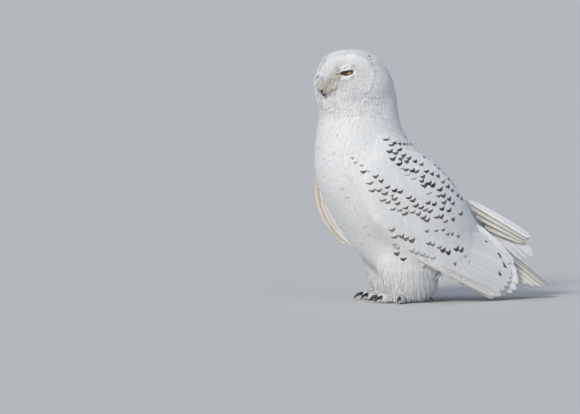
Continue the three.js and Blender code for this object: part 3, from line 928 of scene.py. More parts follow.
# the dark crescents. In each row: from one place to another in millimetres, then how far apart, how wide and
# thick in millimetres, how dark, what share of them is there, and how brown
markRows = {
    "side": [  # places are (x, z), seen level from either side
        ((-104, 285), (-60, 283), 12, 11, 4.6, 1.0, 0.95, 0.1),
        ((-60, 281), (14, 214), 13, 11, 4.6, 1.0, 0.95, 0.1),
        ((-120, 291), (30, 186), 13, 12, 4.6, 1.0, 0.95, 0.1),
        ((-116, 276), (26, 160), 13, 13, 4.8, 1.0, 0.9, 0.1),
        ((-112, 261), (-2, 171), 15, 13, 4.6, 1.0, 0.85, 0.1),
        ((-96, 248), (-30, 186), 18, 14, 2.4, 0.5, 0.8, 0.2),
        ((-47, 183), (10, 158), 16, 11, 4.4, 1.0, 0.9, 0.1),
        ((-182, 262), (-152, 234), 9, 6, 2.6, 0.75, 0.9, 0.5),
        ((-172, 250), (-158, 240), 9, 7, 2.8, 0.75, 0.9, 0.5),
        ((-164, 236), (-13, 147), 10.5, 11, 4.0, 1.0, 0.92, 0.5),
        ((-150, 226), (-23, 155), 11, 11, 3.8, 1.0, 0.85, 0.5),
        ((-154, 214), (-47, 151), 10.5, 12, 4.2, 0.95, 0.95, 0.5),
        ((-150, 203), (-60, 152), 11, 12, 4.2, 0.95, 0.92, 0.5),
        ((-131, 184), (-80, 157), 12, 12, 4.0, 0.85, 0.95, 0.6),
        ((-47, 131), (16, 123), 9.5, 8, 4.0, 0.9, 0.95, 0.4),
        ((-113, 131), (-77, 109), 12, 12, 5.0, 0.9, 1.0, 0.6),
        ((-104, 106), (-34, 78), 11, 11, 4.4, 0.55, 0.9, 0.5),
        ((-47, 110), (-23, 102), 11, 10, 4.0, 0.85, 1.0, 0.6),
        ((-13, 94), (24, 94), 12, 12, 5.0, 1.0, 1.0, 0.2),
        ((8, 150), (4, 141), 12, 11, 5.0, 1.0, 1.0, 0.1),
        ((-99, 88), (-84, 77), 17, 12, 5.0, 1.0, 1.0, 0.3),
        ((12, 73), (-3, 60), 14, 8, 5.0, 0.75, 1.0, 0.6),
        ((36, 84), (52, 60), 14, 8, 5.0, 0.5, 1.0, 0.5),
        ((-134, 441), (-134, 441), 9, 9, 3.0, 0.95, 1.0, 0.1),
        ((-160, 449), (-142, 449), 9, 4, 1.6, 0.7, 0.9, 0.3),
    ],
    "top": [  # places are (x, y), seen from above
        ((-48, -10), (62, -8), 15, 12, 4.6, 1.0, 0.9, 0.1),
        ((-44, 10), (66, 10), 15, 12, 4.6, 1.0, 0.9, 0.1),
        ((-54, -26), (56, -22), 14, 12, 4.6, 1.0, 0.9, 0.1),
        ((-54, 26), (60, 24), 14, 12, 4.6, 1.0, 0.9, 0.1),
        ((-66, -42), (46, -36), 14, 12, 4.6, 1.0, 0.9, 0.1),
        ((-66, 42), (50, 38), 14, 12, 4.6, 1.0, 0.9, 0.1),
    ],
    "front": [  # places are (y, z), seen from the front
        ((-52, 222), (-64, 190), 14, 10, 2.0, 0.5, 0.8, 0.4),
        ((56, 216), (62, 182), 15, 10, 2.0, 0.45, 0.8, 0.4),
        ((-66, 152), (-58, 122), 15, 10, 1.8, 0.4, 0.8, 0.4),
        ((-20, 196), (26, 186), 20, 9, 1.6, 0.3, 0.7, 0.4),
        ((30, 150), (64, 140), 17, 10, 1.8, 0.35, 0.8, 0.4),
    ],
}
strewing = {
    "stray": 2.0,  # how far a mark lies off its row, in millimetres
    "apart": 8.2,  # and the least between two marks
    "wide": (0.46, 0.62),  # half of a mark's measures, give or take
    "thick": (0.5, 0.75),
    "dark": (0.85, 1),
    "brown": (0.4, 1.4),
    "reach": 17,  # how near a feather has to be to bear a mark
}
lookFrom = {
    "left": (lambda a, b: (a, -300, b), (0, 1, 0)),
    "right": (lambda a, b: (a, 300, b), (0, -1, 0)),
    "top": (lambda a, b: (a, b, 600), (0, 0, -1)),
    "front": (lambda a, b: (-500, a, b), (1, 0, 0)),
}


def strewn():
    # marks along their rows: places, quads of the hull, and half widths, half thicknesses, dark and brown
    places, quads, shapes = [], [], []
    for look, (origin, way) in lookFrom.items():
        for begin, end, gap, wide, thick, dark, share, brown in markRows.get(look, markRows["side"]):
            begin, end = np.array(begin, float), np.array(end, float)
            steps = round(np.linalg.norm(end - begin) / gap)
            for k in range(steps + 1):
                a, b = lerp(begin, end, k / max(steps, 1)) + chance.normal(0, strewing["stray"], 2)
                place, _, quad, _ = hullTree.ray_cast(np.array(origin(a, b)) * mm, way)
                lucky = chance.random() < share
                if place is None or not lucky:
                    continue
                if any(math.dist(place, p) < strewing["apart"] * mm for p in places):
                    continue
                places.append(np.array(place))
                quads.append(quad)
                measures = {"wide": wide * mm, "thick": thick * mm, "dark": dark, "brown": brown}
                shapes.append([value * chance.uniform(*strewing[key]) for key, value in measures.items()])
    return np.array(places), np.array(quads), np.array(shapes).T


markPlaces, markQuads, (markWide, markThick, markDark, markBrown) = strewn()
markUp = quadNormals[markQuads]
markAlong = lieAt(markPlaces, quadNode[markQuads]) * 0.6 - [0, 0, 0.5]  # between the lie and straight down
markAlong = unit(markAlong - dot(markAlong, markUp) * markUp)
markAcross = np.cross(markUp, markAlong)
markTree = KDTree(len(markPlaces))
for index, spot in enumerate(markPlaces.tolist()):
    markTree.insert(spot, index)
markTree.balance()
print(len(markPlaces), "marks")


def markAt(points, spots):
    # for each group of points, where they lie on the two marks nearest to the group's spot
    near = [markTree.find_n(spot, 2) for spot in spots.tolist()]
    shape = (len(points),) + (1,) * (points.ndim - 2)
    found = []
    for k in range(2):
        which = np.array([n[k][1] for n in near])
        close = np.array([n[k][2] for n in near]) < strewing["reach"] * mm
        away = points - markPlaces[which].reshape(*shape, 3)
        across, along = ((away * axes[which].reshape(*shape, 3)).sum(-1) / half[which].reshape(shape)
                         for axes, half in ((markAcross, markWide), (markAlong, markThick)))
        dark = np.where(close, markDark[which], 0).reshape(shape) * np.ones_like(across)
        found.append(np.stack([across, along, dark], -1))
    return found, markBrown[np.array([n[0][1] for n in near])]


growing = {
    "lengths": (0.86, 1.14),  # how one feather differs from the next, as shares of its length and width
    "widths": (0.9, 1.1),
    "floorGap": 1.0,  # millimetres kept free above the floor, and the shortest feather that this may leave
    "shortest": 2.5,
    "offEdge": 3.5,  # this far off the hull a feather hangs past an edge
    "buried": 0.4,  # how far under the skin the roots are
    "lidRoots": 1.5,  # so near to the ball roots are on a lid, and then so deep
    "lidDepth": 0.2,
}


def grow(name, style, roots, lies=None, length=None, width=None, finish=downFinish):
    # one region of the coat: its feathers are combed along the lie from their roots, lengths in millimetres
    places, normals, quads = roots
    count = len(places)
    # paintedHighlight makes a coat's white lighter, a painted highlight
    tint = np.clip(plainTint(count) * style.get("paintedHighlight", 1), 0, brightest)
    tint = lerp(tint, tan, style.get("tanned", 0))
    lies = lieAt(places, quadNode[quads]) if lies is None else unit(lies)
    length = np.broadcast_to(style["length"] if length is None else length, count) * mm
    length = length * chance.uniform(*growing["lengths"], count)
    width = np.broadcast_to(style["width"] if width is None else width, count) * mm
    width = width * chance.uniform(*growing["widths"], count)
    # none reaches the floor
    fall = np.maximum(-lies[:, 2], 0.05)
    room = (places[:, 2] - growing["floorGap"] * mm) / fall
    length = np.minimum(length, np.maximum(room, growing["shortest"] * mm))
    sway = chance.normal(0, style["sway"], count)
    rows = len(style["rows"])
    off = combed(places, normals, lies, length, rows, style["bend"], sway)[3]
    # and those that would run off an edge of the body end a little past it
    gone = off > growing["offEdge"] * mm
    reached = np.where(gone.any(1), gone.argmax(1), rows - 1) / (rows - 1)
    length = length * np.minimum(1, reached + style["fringe"])
    paths = combed(places, normals, lies, length, rows, style["bend"], sway)
    keep = ~inSlit(paths[0].reshape(-1, 3), style["clear"]).reshape(count, -1)[:, 1:].any(1)
    paths = [part[keep] for part in paths]
    depth = (quadDepth[quads] * style.get("rooted", 1) + growing["buried"] * mm)[keep]
    if "lids" in style:  # near the eyes they lie over the lids
        over = eyeRadius + style["lids"] * mm
        for side in eyes:
            away = paths[0] - eyes[side]
            reach = np.linalg.norm(away, axis=2, keepdims=True)
            paths[0] = np.where(reach < over, eyes[side] + away / reach * over, paths[0])
            near = np.linalg.norm(paths[0][:, 0] - eyes[side], axis=1) < over + growing["lidRoots"] * mm
            depth = np.where(near, np.minimum(depth, growing["lidDepth"] * mm), depth)
    uvPlace = octahedral(places)[keep]
    spots = paths[0][:, -2]

    def marked(body, s, t, long):
        return markAt(body, spots)

    vanes(name, style, paths, width[keep], depth, tint[keep], marked, uvPlace, finish)


def cover(name, style, choose):
    grow(name, style, scattered(choose, style["gap"]))


# In the coats, "gap" is between roots, "proud" and "curl" are how far the tips stand off, "lids" how far off
# the balls they lie; those are in millimetres, as lengths and widths are. "taper" is the width along a vane,
# "bend" the degrees that it bends in a step, "rise" how soon it comes out of the coat, "dome" and "round"
# its section and its end, "sway" how far feathers lie askew, "fringe" the share of one that may hang past an
# edge, "clear" the degrees kept free round the opening of the lids, "rooted" how deep the root is.
fineRows = [0, 0.3, 0.6, 0.85, 1]

# head: short soft locks, finest on the face
headCoat = {
    "columns": 3, "rows": [0, 0.35, 0.7, 1], "taper": ([0, 0.35, 0.75, 1], [0.5, 1, 0.8, 0.12]), "bend": 22,
    "proud": 0.4, "rise": 1.8, "dome": 0.2, "ragged": 0, "round": 0.0, "sway": 0.13, "lids": 2.5,
    "curl": 0.45, "skullCurl": 0.1, "clear": 1.0, "fringe": 0.12, "rootsClear": 1.6,
    "napeBack": (-30, -5),  # so far behind the eyes, in millimetres, the coat thins out down the nape,
    "nape": (0.362, 0.405),  # between these heights
    "gaps": (1.5, 2.0), "lengths": (6.5, 13), "widths": (2.0, 3.6),  # on the face, and on the skull
}


def segmentDistance(points, a, b):
    along = np.clip(((points - a) @ (b - a)) / ((b - a) @ (b - a)), 0, 1)
    return np.linalg.norm(points - a - along[:, None] * (b - a), axis=1)


faceColours = {
    # millimetres outward and up of the middle between the eyes: from where, to where, how broad, how strong
    "lore": ((24, -7), (10, -27), 6.5, 0.42),  # tan between the eye and the bill
    "crease": ((19, 1.5), (27, 6), 1.8, 0.5),  # and over the eye
    "gape": ((5, -38.5), (33, -26), 2.0, 1),  # and along the gape, fainter toward its corner
    "corner": ((19.5, -4), (24.5, -2), 1.3, 0.9),  # nearly black at the eye's inner corner
    "most": 0.85,
}


def strokeAt(local, name):
    a, b, broad, strong = faceColours[name]
    return strong * np.exp(-(segmentDistance(local, np.array(a), np.array(b)) / broad) ** 2)


def faceTint(points, tint, luck):
    # the face's colours, and grey flecks behind the rim of the disc, partly real flecks and partly painted
    # shade of the raised rim
    forward, left, up = inFace(points)
    local = np.column_stack([left * np.sign(left), up])
    gape = (0.95 * ease(local[:, 0], 40, 20) + 0.1) * strokeAt(local, "gape")
    stain = strokeAt(local, "lore") + gape + strokeAt(local, "crease")
    stain = stain * (forward > 0) * (0.65 + 0.6 * luck)
    tint = lerp(tint, tan, np.clip(stain, 0, faceColours["most"])[:, None])
    tint = lerp(tint, tan * 0.08, (strokeAt(local, "corner") * (forward > 0))[:, None])
    # a band just outside the disc's rim, strewn with grey flecks that are partly real flecks and partly
    # painted shade of the rim
    behind = np.exp(-((discDistance(points) - disc["radius"] - 5) / 3.0) ** 2) * ease(up, -34, 6)
    behind = behind * (np.abs(left) > 30)
    fleckAndRimShade = (luck < 0.5 * behind) * (0.3 + 0.9 * luck)
    return lerp(tint, fleckAndShadeGrey, fleckAndRimShade[:, None])


# the face's tan stains, and behind the rim grey flecks that are partly painted shade
headCoat["stain"] = faceTint
roots = scattered(onNodes("head", "eye_left", "eye_right", "bill_upper"),
                  lerp(*headCoat["gaps"], ease(faceDistance(quadMiddles), 26, 60)))
forward, left, up = inFace(roots[0])
thinned = (1 - ease(forward, *headCoat["napeBack"])) * (1 - ease(roots[0][:, 2], *headCoat["nape"]))
keep = chance.random(len(up)) > thinned
keep &= ~inSlit(roots[0], headCoat["rootsClear"]) & ~((quadName[roots[2]] == "bill_upper") & (up < -16))
roots = [part[keep] for part in roots]
outside = ease(faceDistance(roots[0]), 18, 60)
skullCoat = {**headCoat, "wraps": True, "curl": headCoat["skullCurl"]}
for name, style, part in (("coat_face", headCoat, outside < 0.7), ("coat_skull", skullCoat, outside >= 0.7)):
    grow(name, style, [column[part] for column in roots], None,
         lerp(*headCoat["lengths"], outside[part]), lerp(*headCoat["widths"], outside[part]))

# where each quad of the hull is as the face sees it
forward, left, up = inFace(quadMiddles)
height = quadMiddles[:, 2]
eyeGap = faceDistance(quadMiddles)
rimGap = discDistance(quadMiddles) - disc["radius"]

# under the jaw and cheeks: longer loose locks that hang over the throat
beardCoat = {
    **headCoat, "from": 0.351, "to": 0.388, "gap": 1.7, "lengths": (11, 22), "width": 2.8, "proud": 1.4,
    "curl": 1.8, "bend": 14, "hang": (0.12, 0, -1),
}
onJaw = onNodes("head", "neck") & (height > beardCoat["from"]) & (height < beardCoat["to"])
onJaw &= (rimGap > 0) & (forward > -40) & ~((np.abs(left) < 16) & (up > -48))
roots = scattered(onJaw, beardCoat["gap"])
lengths = chance.uniform(*beardCoat["lengths"], len(roots[0]))
grow("coat_beard", beardCoat, roots, np.array(beardCoat["hang"]) + 0 * roots[0], lengths)

# a few fine hairs that stand off and soften the outline
fuzzCoat = {
    **headCoat, "gap": 3.0, "length": 11, "width": 0.7, "rows": fineRows, "bend": 5, "proud": 1.2,
    "curl": 2.0, "sway": 0.25, "dome": 0.3, "rise": 1.2, "rooted": 0.3, "clear": 8,
}
onFuzz = onNodes("head") | (onNodes("neck") & (height > 0.33))
cover("coat_fuzz", fuzzCoat, onFuzz & (eyeGap > 20) & (up < 22) & (forward > -50))

# the rim of the face: a low ring of feathers standing a little off, painted a little lighter as a highlight,
# with its shade behind it partly painted as grey flecks
ruffCoat = {
    **headCoat, "rooted": 0.6, "proud": 1.1, "curl": 0.4, "rise": 1.2, "bend": 12, "sway": 0.05, "gap": 1.25,
    "length": 7.5, "width": 2.6, "paintedHighlight": 1.03,
    "inner": -6, "outer": -2.5,  # millimetres off the disc's radius
    "from": 33,  # it lies outwards from here, millimetres to the side
}
onRing = onNodes("head", "neck") & (rimGap > ruffCoat["inner"]) & (rimGap < ruffCoat["outer"])
roots = scattered(onRing & (np.abs(left) > 30) & (up > -30), ruffCoat["gap"])
middles = eyesMiddle + np.sign(inFace(roots[0])[1])[:, None] * faceLeft * ruffCoat["from"] * mm
grow("coat_ruff", ruffCoat, roots, roots[0] - middles)

# bristles over the base of the bill
bristleCoat = {
    **headCoat, "rows": fineRows, "bend": 7, "proud": 2.0, "curl": 2.5, "sway": 0.22, "rooted": 0.5,
    "rise": 1.1, "gap": 1.5, "length": 12, "width": 1.7, "tanned": 0.1,
}
onLore = onNodes("head", "bill_upper") & (forward > 6) & (np.abs(left) < 24) & (up < 0) & (up > -31)
onLore &= ~((quadName == "bill_upper") & (up < -20)) & ~((np.abs(left) < 8) & (up < -15))
roots = scattered(onLore, bristleCoat["gap"])
aside = inFace(roots[0])[1]
grow("coat_bristles", bristleCoat, roots, toward(0.65 + 0 * aside, aside / 60, -0.85 + 0 * aside))

# and fuller white locks over the forehead, lying upwards from between the eyes
browCoat = {
    **bristleCoat, "proud": 0.6, "curl": 0.6, "sway": 0.12, "bend": 16, "dome": 0.1, "wraps": True,
    "clear": 3, "gap": 1.6, "length": 9, "width": 2.8, "tanned": 0,
    "side": (14, 22), "top": (24, 44),  # millimetres to its edges, which are uneven
}
onBrow = np.abs(left) < lerp(*browCoat["side"], chance.random(len(up)))
onBrow &= onNodes("head") & (forward > 2) & (up >= -7)
onBrow &= up < lerp(*browCoat["top"], chance.random(len(up)))
roots = scattered(onBrow, browCoat["gap"])
aside = inFace(roots[0])[1]
grow("coat_brow", browCoat, roots, toward(-0.3 + 0 * aside, aside / 45, 1 + 0 * aside))

# neck, breast and belly: broad soft feathers that hardly part, smaller toward the head
softCoat = {
    "columns": 5, "rows": fineRows, "taper": ([0, 0.3, 0.7, 1], [0.4, 0.9, 1, 0.62]), "bend": 30,
    "proud": 0.3, "rise": 2.3, "dome": 0.06, "ragged": 0.06, "round": 0.28, "sway": 0.08, "curl": 0.2,
    "wraps": True, "clear": 3, "fringe": 0.12,
    "top": 0.37, "bottom": 0.27,  # the heights between which their size changes
    "mingled": 0.045,  # how far above that they reach up into the head's coat behind
    "gaps": (3.9, 2.3), "lengths": (30, 14), "widths": (14, 5),  # at the breast, and at the nape
    "neck": 0.25, "belly": 0.17,  # the heights at which the neck begins and the belly ends
}


def graded(key, z):
    return lerp(*softCoat[key], ease(z, softCoat["bottom"], softCoat["top"]))


behind = 1 - ease(forward, *headCoat["napeBack"])
onNape = height < softCoat["top"] + softCoat["mingled"] * behind * chance.random(len(forward))
onBody = onNodes("neck", "trunk") | (onNodes("head") & onNape)
roots = scattered(onBody, graded("gaps", height))
z = roots[0][:, 2]
for name, part in (("coat_neck", z > softCoat["neck"]),
                   ("coat_breast", (z <= softCoat["neck"]) & (z > softCoat["belly"])),
                   ("coat_belly", z <= softCoat["belly"])):
    grow(name, softCoat, [column[part] for column in roots], None, graded("lengths", z[part]),
         graded("widths", z[part]))

# legs and feet: long loose locks that hang round the leg, short ones on the toes
legCoat = {
    **headCoat, "bend": 16, "curl": 0.8, "sway": 0.09, "fringe": 0.4, "dome": 0.12, "wraps": True,
    "gap": 1.6, "length": 22, "width": 3.2,
}
del legCoat["lids"], legCoat["stain"]
hemCoat = {
    **legCoat, "wraps": False, "rows": fineRows, "bend": 6, "proud": 1.6, "curl": 3.2, "sway": 0.14,
    "gap": 2.2, "length": 25, "width": 1.3, "from": 0.024, "to": 0.075,
}
onLegs = onNodes("leg_left", "leg_right")
cover("coat_legs", legCoat, onLegs)
cover("coat_hem", hemCoat, onLegs & (height > hemCoat["from"]) & (height < hemCoat["to"]))
cover("coat_feet", {**legCoat, "curl": 1.2, "length": 10, "width": 2.6}, onNodes("foot_left", "foot_right"))

# wings: firm round-tipped coverts
wingCoat = {
    "columns": 7, "rows": [0, 0.25, 0.5, 0.7, 0.86, 0.95, 1], "bend": 14,
    "taper": ([0, 0.3, 0.7, 0.9, 1], [0.4, 0.9, 1, 0.92, 0.62]),
    "proud": 0.3, "rise": 1.6, "dome": 0.07, "ragged": 0.01, "round": 0.2, "sway": 0.05, "curl": 0.15,
    "wraps": True, "clear": 3, "fringe": 0.1, "gap": 5.8, "length": 34, "width": 18,
    "edge": ((-0.05, 0, 0.084), (0.095, 0, 0.01)),  # bare along the left wing's lower edge
    "edgeWidth": 10,
}
for side in ("left", "right"):
    roots = scattered(onNodes("wing_" + side), wingCoat["gap"])
    # none on the wing's end and along its lower edge, where the flight feathers lie
    places, normals, quads = roots
    way = lieAt(places, quadNode[quads])
    bare = (dot(normals, way)[:, 0] > 0.4) | ((normals[:, 2] < -0.45) & (places[:, 0] > -0.06))
    if side == "left":
        bare |= (places[:, 0] > 0.068) & (places[:, 2] < 0.1)
        edge = segmentDistance(places * [1, 0, 1], *np.array(wingCoat["edge"]))
        bare |= edge < wingCoat["edgeWidth"] * mm
    grow("coat_wing_" + side, wingCoat, [part[~bare] for part in roots], finish=vaneFinish)

# flight feathers: long vanes with a shaft, laid one by one
quill = {
    "columns": 7, "rows": np.array([0, 0.12, 0.3, 0.5, 0.68, 0.82, 0.91, 0.96, 0.988, 1]),
    "taper": ([0, 0.15, 0.6, 0.88, 0.95, 0.985, 1], [0.4, 0.8, 1, 0.97, 0.86, 0.66, 0.38]),
    "proud": 0, "rise": 1, "dome": 0.1, "ragged": 0.0, "round": 0.1, "curl": 0, "shaft": 0.7,
    "stray": 0.5,  # millimetres that a tip lies off its place, and how one white differs from the next
    "shade": 0.04,
    "jump": 12,  # a step in the hull that is taken for its edge
}


def through(three, count):
    # even steps along the parabola through three values
    k = np.linspace(0, 1, count)[:, None]
    a, b, c = (np.atleast_1d(np.array(value, float)) for value in three)
    return a * (1 - k) * (1 - 2 * k) + b * 4 * k * (1 - k) + c * k * (2 * k - 1)


def straight(roots, tips, ups, widths, bow):
    # middle lines that bow outward a little between root and tip
    t = quill["rows"][None, :, None]
    middle = lerp(roots[:, None], tips[:, None], t)
    return middle + ups[:, None] * (bow * mm * 4 * t * (1 - t)), ups, widths


def fan(node, roots, tips, ups, widths, count, bow):
    # feathers side by side; roots and tips, which are places in the node's box, ups and widths are those of
    # the first, the middle and the last
    roots, tips = (through([boxPoint(node, *place) for place in three], count) for three in (roots, tips))
    return straight(roots, tips, unit(through(ups, count)), through(widths, count)[:, 0] * mm, bow)


def overWing(sign, roots, tips, widths, count, sag, lifts):
    # feathers laid on the outside of a wing, running on past its edge; places are (x, z) in millimetres, and
    # the lifts are how far out of the hull they lie at the root, a third along and at the tip
    a, b = through(roots, count), through(tips, count)
    times = quill["rows"]
    middle = np.zeros((count, len(times), 3))
    for index in range(count):
        known = []
        for row, t in enumerate(times):
            x, z = lerp(a[index], b[index], t) * mm
            z = z + sag * mm * 4 * t * (1 - t)
            hit = hullTree.ray_cast((x, sign * 0.3, z), (0, -sign, 0))[0]
            if hit and (not known or abs(hit[1] - known[-1][1]) < quill["jump"] * mm):
                known.append((t, hit[1]))
            middle[index, row] = (x, 0, z)
        # past the wing's edge they keep the slope that they have on it
        met, outs = np.array(known).T
        slope = (outs[-1] - outs[len(outs) // 2]) / max(met[-1] - met[len(outs) // 2], 0.2)
        y = np.where(times > met[-1], outs[-1] + slope * (times - met[-1]), np.interp(times, met, outs))
        y = np.polyval(np.polyfit(times, y, 3), times)
        middle[index, :, 1] = y + sign * np.interp(times, [0, 0.35, 1], lifts) * mm
    ups = np.tile([0.0, sign, 0.25], (count, 1))
    return middle, unit(ups), np.linspace(*widths, count) * mm


def layQuills(name, laid, tint, bars=(), lean=0.0, finish=paleFinish):
    # bars: which feather, how far along, how far across, and how wide, thick and dark the bar is
    middle, ups, widths = laid
    count = len(middle)
    stray = chance.normal(0, quill["stray"] * mm, (count, 1, 3))
    middle = middle + stray * quill["rows"][None, :, None]
    ways = unit(np.gradient(middle, quill["rows"], axis=1))
    ups = unit(ups[:, None] - dot(ups[:, None], ways) * ways)
    # leaning, so that each edge shows over the next
    ups = unit(ups + math.tan(math.radians(lean)) * np.cross(ups, ways))
    barOf = np.full(count, -1)
    for index, bar in enumerate(bars):
        barOf[bar[0]] = index
    shape = np.array([bar[1:] for bar in bars] + [(0.5, 0, 1, 1, 0)])[barOf]

    def marked(body, s, t, long):
        at, side, wide, thick, dark = (shape[:, k, None, None] for k in range(5))
        across = (s - side) * widths[:, None, None] / 2 / (wide * mm / 2)
        along = (t - at) * long / (thick * mm / 2)
        bar = np.stack([across, along, dark * np.ones_like(s)], -1)
        return (bar, 0 * bar), np.full(count, 0.8)

    tints = np.clip(tint * (1 + chance.normal(0, quill["shade"], count))[:, None], 0, brightest)
    paths = (middle, ups, ways, None)
    piece = vanes(name, quill, paths, widths, np.zeros(count), tints, marked, None, finish)
    return piece


def creamed(*shares):
    # a white for each feather, so far toward cream
    return lerp(plumageWhite, cream, np.array(shares)[:, None])


# tail: two halves that hang like a roof from the middle feathers
tailStyle = {
    "root": (0.06, 0.5, 0.94), "tip": (0.99, 0.5, 0.05),  # in the solid's box
    "perSide": 6, "width": 25, "bow": 2.0,
    "lean": 0.1, "fall": 0.22,  # radians that the middle feathers lean, and how much more each next one does
    "step": 0.8,  # how much lower each lies than the one above it
    "spread": (20, 26),  # how far the outermost would reach to the side, at the roots and at the tips
    "drop": 30,  # and how far it would drop
    "rootSunk": 6,
    "shorter": 1.5,
    "bars": [(1, 0.9, 0.3, 9, 4, 0.8), (9, 0.72, 0.0, 8, 4, 0.6)],
}
tailRoot, tailTip = boxPoint("tail", *tailStyle["root"]), boxPoint("tail", *tailStyle["tip"])
tailWay = unit(tailTip - tailRoot)
tailUp = np.array([-tailWay[2], 0, tailWay[0]])
halves = []
for side in (-1, 1):
    k = np.arange(tailStyle["perSide"] - 1, -1, -1)[:, None]
    across = np.array([0, side, 0.0])
    lean = tailStyle["lean"] + tailStyle["fall"] * k
    roof = tailStyle["drop"] * (1 - np.cos(lean))
    feet, ends = (across * np.sin(lean) * wide for wide in tailStyle["spread"])
    feet = tailRoot + (feet - tailUp * (tailStyle["rootSunk"] + roof + tailStyle["step"] * k)) * mm
    ends = tailTip + (ends - tailUp * (roof + tailStyle["step"] * k)) * mm
    ends = ends - tailWay * tailStyle["shorter"] * k * k * mm
    halves.append((feet, ends, tailUp * np.cos(lean) + across * np.sin(lean)))
feet, ends, ups = (np.concatenate(part) for part in zip(*halves))
laid = straight(feet, ends, ups, np.full(len(feet), tailStyle["width"] * mm), tailStyle["bow"])
tail = layQuills("tail_feathers", laid, creamed(0.3), tailStyle["bars"])
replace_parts(tail, "tail")

# left wing: it ends in a fan, and a few long feathers run along its lower edge
leftTips = fan("wing_left_tip", [(0.1, 0.3, 0.6), (0.2, 0.3, 0.76), (0.36, 0.3, 0.95)],
               [(0.66, 0.2, 0.05), (1.0, 0.25, 0.12), (0.96, 0.3, 0.42)],
               [(-0.1, -1, 0.1), (-0.1, -1, 0.1), (-0.1, -1, 0.2)], [20, 22, 22], 7, 2.0)
piece = layQuills("primaries_left", leftTips, plumageWhite, [(4, 0.84, 0.0, 10, 5, 0.8)], 5.0)
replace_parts(piece, "wing_left_tip")
leftEnd = overWing(-1, [(30, 124), (20, 95), (-5, 60)], [(114, 97), (134, 47), (97, 7)], (20, 18), 12,
                   2.0, (-1.5, 1.4, 2.6))
endBars = [
    (1, 0.6, 0.0, 13, 8, 1.0),
    (3, 0.78, 0.0, 13, 8, 1.0),
    (5, 0.86, 0.1, 16, 9, 0.9),
    (7, 0.8, 0, 12, 7, 1.0),
]
layQuills("tertials_left", leftEnd, plumageWhite, endBars, -6.0)
leftEdge = overWing(-1, [(-100, 106), (-62, 90), (-25, 74)], [(86, 12), (98, 10), (109, 10)], (13, 15), 4,
                    -1.5, (-2.0, 1.8, 3.0))
layQuills("wing_edge_left", leftEdge, creamed(0.5, 0.3, 0.4, 0.3), (), -6.0, quillFinish)

# right wing: a fan at its end, and two groups of tips beyond and below it
rightEnd = overWing(1, [(64, 172), (38, 130), (-6, 100)], [(158, 126), (164, 92), (138, 68)], (20, 18), 10,
                    2.0, (-1.5, 1.4, 2.4))
endBars = [(3, 0.8, 0.0, 10, 5, 0.9), (6, 0.84, 0.1, 9, 5, 0.8)]
layQuills("tertials_right", rightEnd, plumageWhite, endBars, 6.0)
rightUpper = fan("wing_right_tip", [(-0.1, 0.26, 1.03), (0.0, 0.34, 0.84), (0.2, 0.42, 0.56)],
                 [(0.94, 0.3, 0.34), (0.93, 0.36, 0.31), (0.87, 0.42, 0.28)],
                 [(0.1, -0.85, 0.5), (0.1, -0.9, 0.4), (0.1, -0.95, 0.3)], [17, 22, 22], 4, 3.0)
rightLower = fan("wing_right_tip", [(0.2, 0.5, 0.45), (0.36, 0.5, 0.42), (0.6, 0.5, 0.4)],
                 [(0.5, 0.5, -0.04), (0.8, 0.5, -0.06), (1.02, 0.5, 0.0)],
                 [(-0.2, -0.95, 0.3), (-0.2, -0.95, 0.3), (-0.2, -0.95, 0.3)], [19, 18, 17], 6, 4.0)
piece = layQuills("primaries_right", rightLower, plumageWhite, (), 13.0)
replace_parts(piece, "wing_right_tip")
upperBars = [(1, 0.72, 0.1, 8, 4, 0.9), (2, 0.78, 0.0, 8, 4, 0.9), (3, 0.84, 0.2, 7, 3.5, 0.9)]
layQuills("secondaries_right", rightUpper, creamed(0.1, 0.5, 0.35, 0.6), upperBars, 9.0, quillFinish)

# a strip of long feathers along the front edge of the right wing, which shows past the breast
frontEdge = {
    "count": 6, "width": 8.5, "tips": (92, 104), "lean": -16.0, "up": (-0.35, 0.94, 0),
    "step": 3.2, "inward": 0.7, "lower": 3.0,  # how far behind, inside and below one the next inner one lies
    # millimetres: height, and how far forward and out the outermost feather lies there
    "heights": (90, 102, 131, 163, 189, 218, 248),
    "x": (-129, -148, -180, -191, -201, -203, -187),
    "y": (64, 66, 69, 71, 72, 72, 66),
    "tan": (0.0, 0.1, 0.0, 0.35, 0.0, 0.3),
}
count = frontEdge["count"]
middle = np.zeros((count, len(quill["rows"]), 3))
for index, share in enumerate(np.linspace(0, 1, count)):
    top = frontEdge["heights"][-1] - frontEdge["lower"] * index
    heights = lerp(top, lerp(*frontEdge["tips"], share), quill["rows"])
    inner = count - 1 - index
    x = np.interp(heights, frontEdge["heights"], frontEdge["x"]) + frontEdge["step"] * inner
    y = np.interp(heights, frontEdge["heights"], frontEdge["y"]) - frontEdge["inward"] * inner
    x = np.polyval(np.polyfit(heights, x, 3), heights)
    middle[index] = np.column_stack([x, y, heights]) * mm
ups = np.tile(unit(np.array(frontEdge["up"])), (count, 1))
laid = (middle, ups, np.full(count, frontEdge["width"] * mm))
tanned = lerp(creamed(0.1, 0.6, 0.1, 0.9, 0.2, 0.8), tan, np.array(frontEdge["tan"])[:, None])
layQuills("primaries_front", laid, tanned, (), frontEdge["lean"], quillFinish)

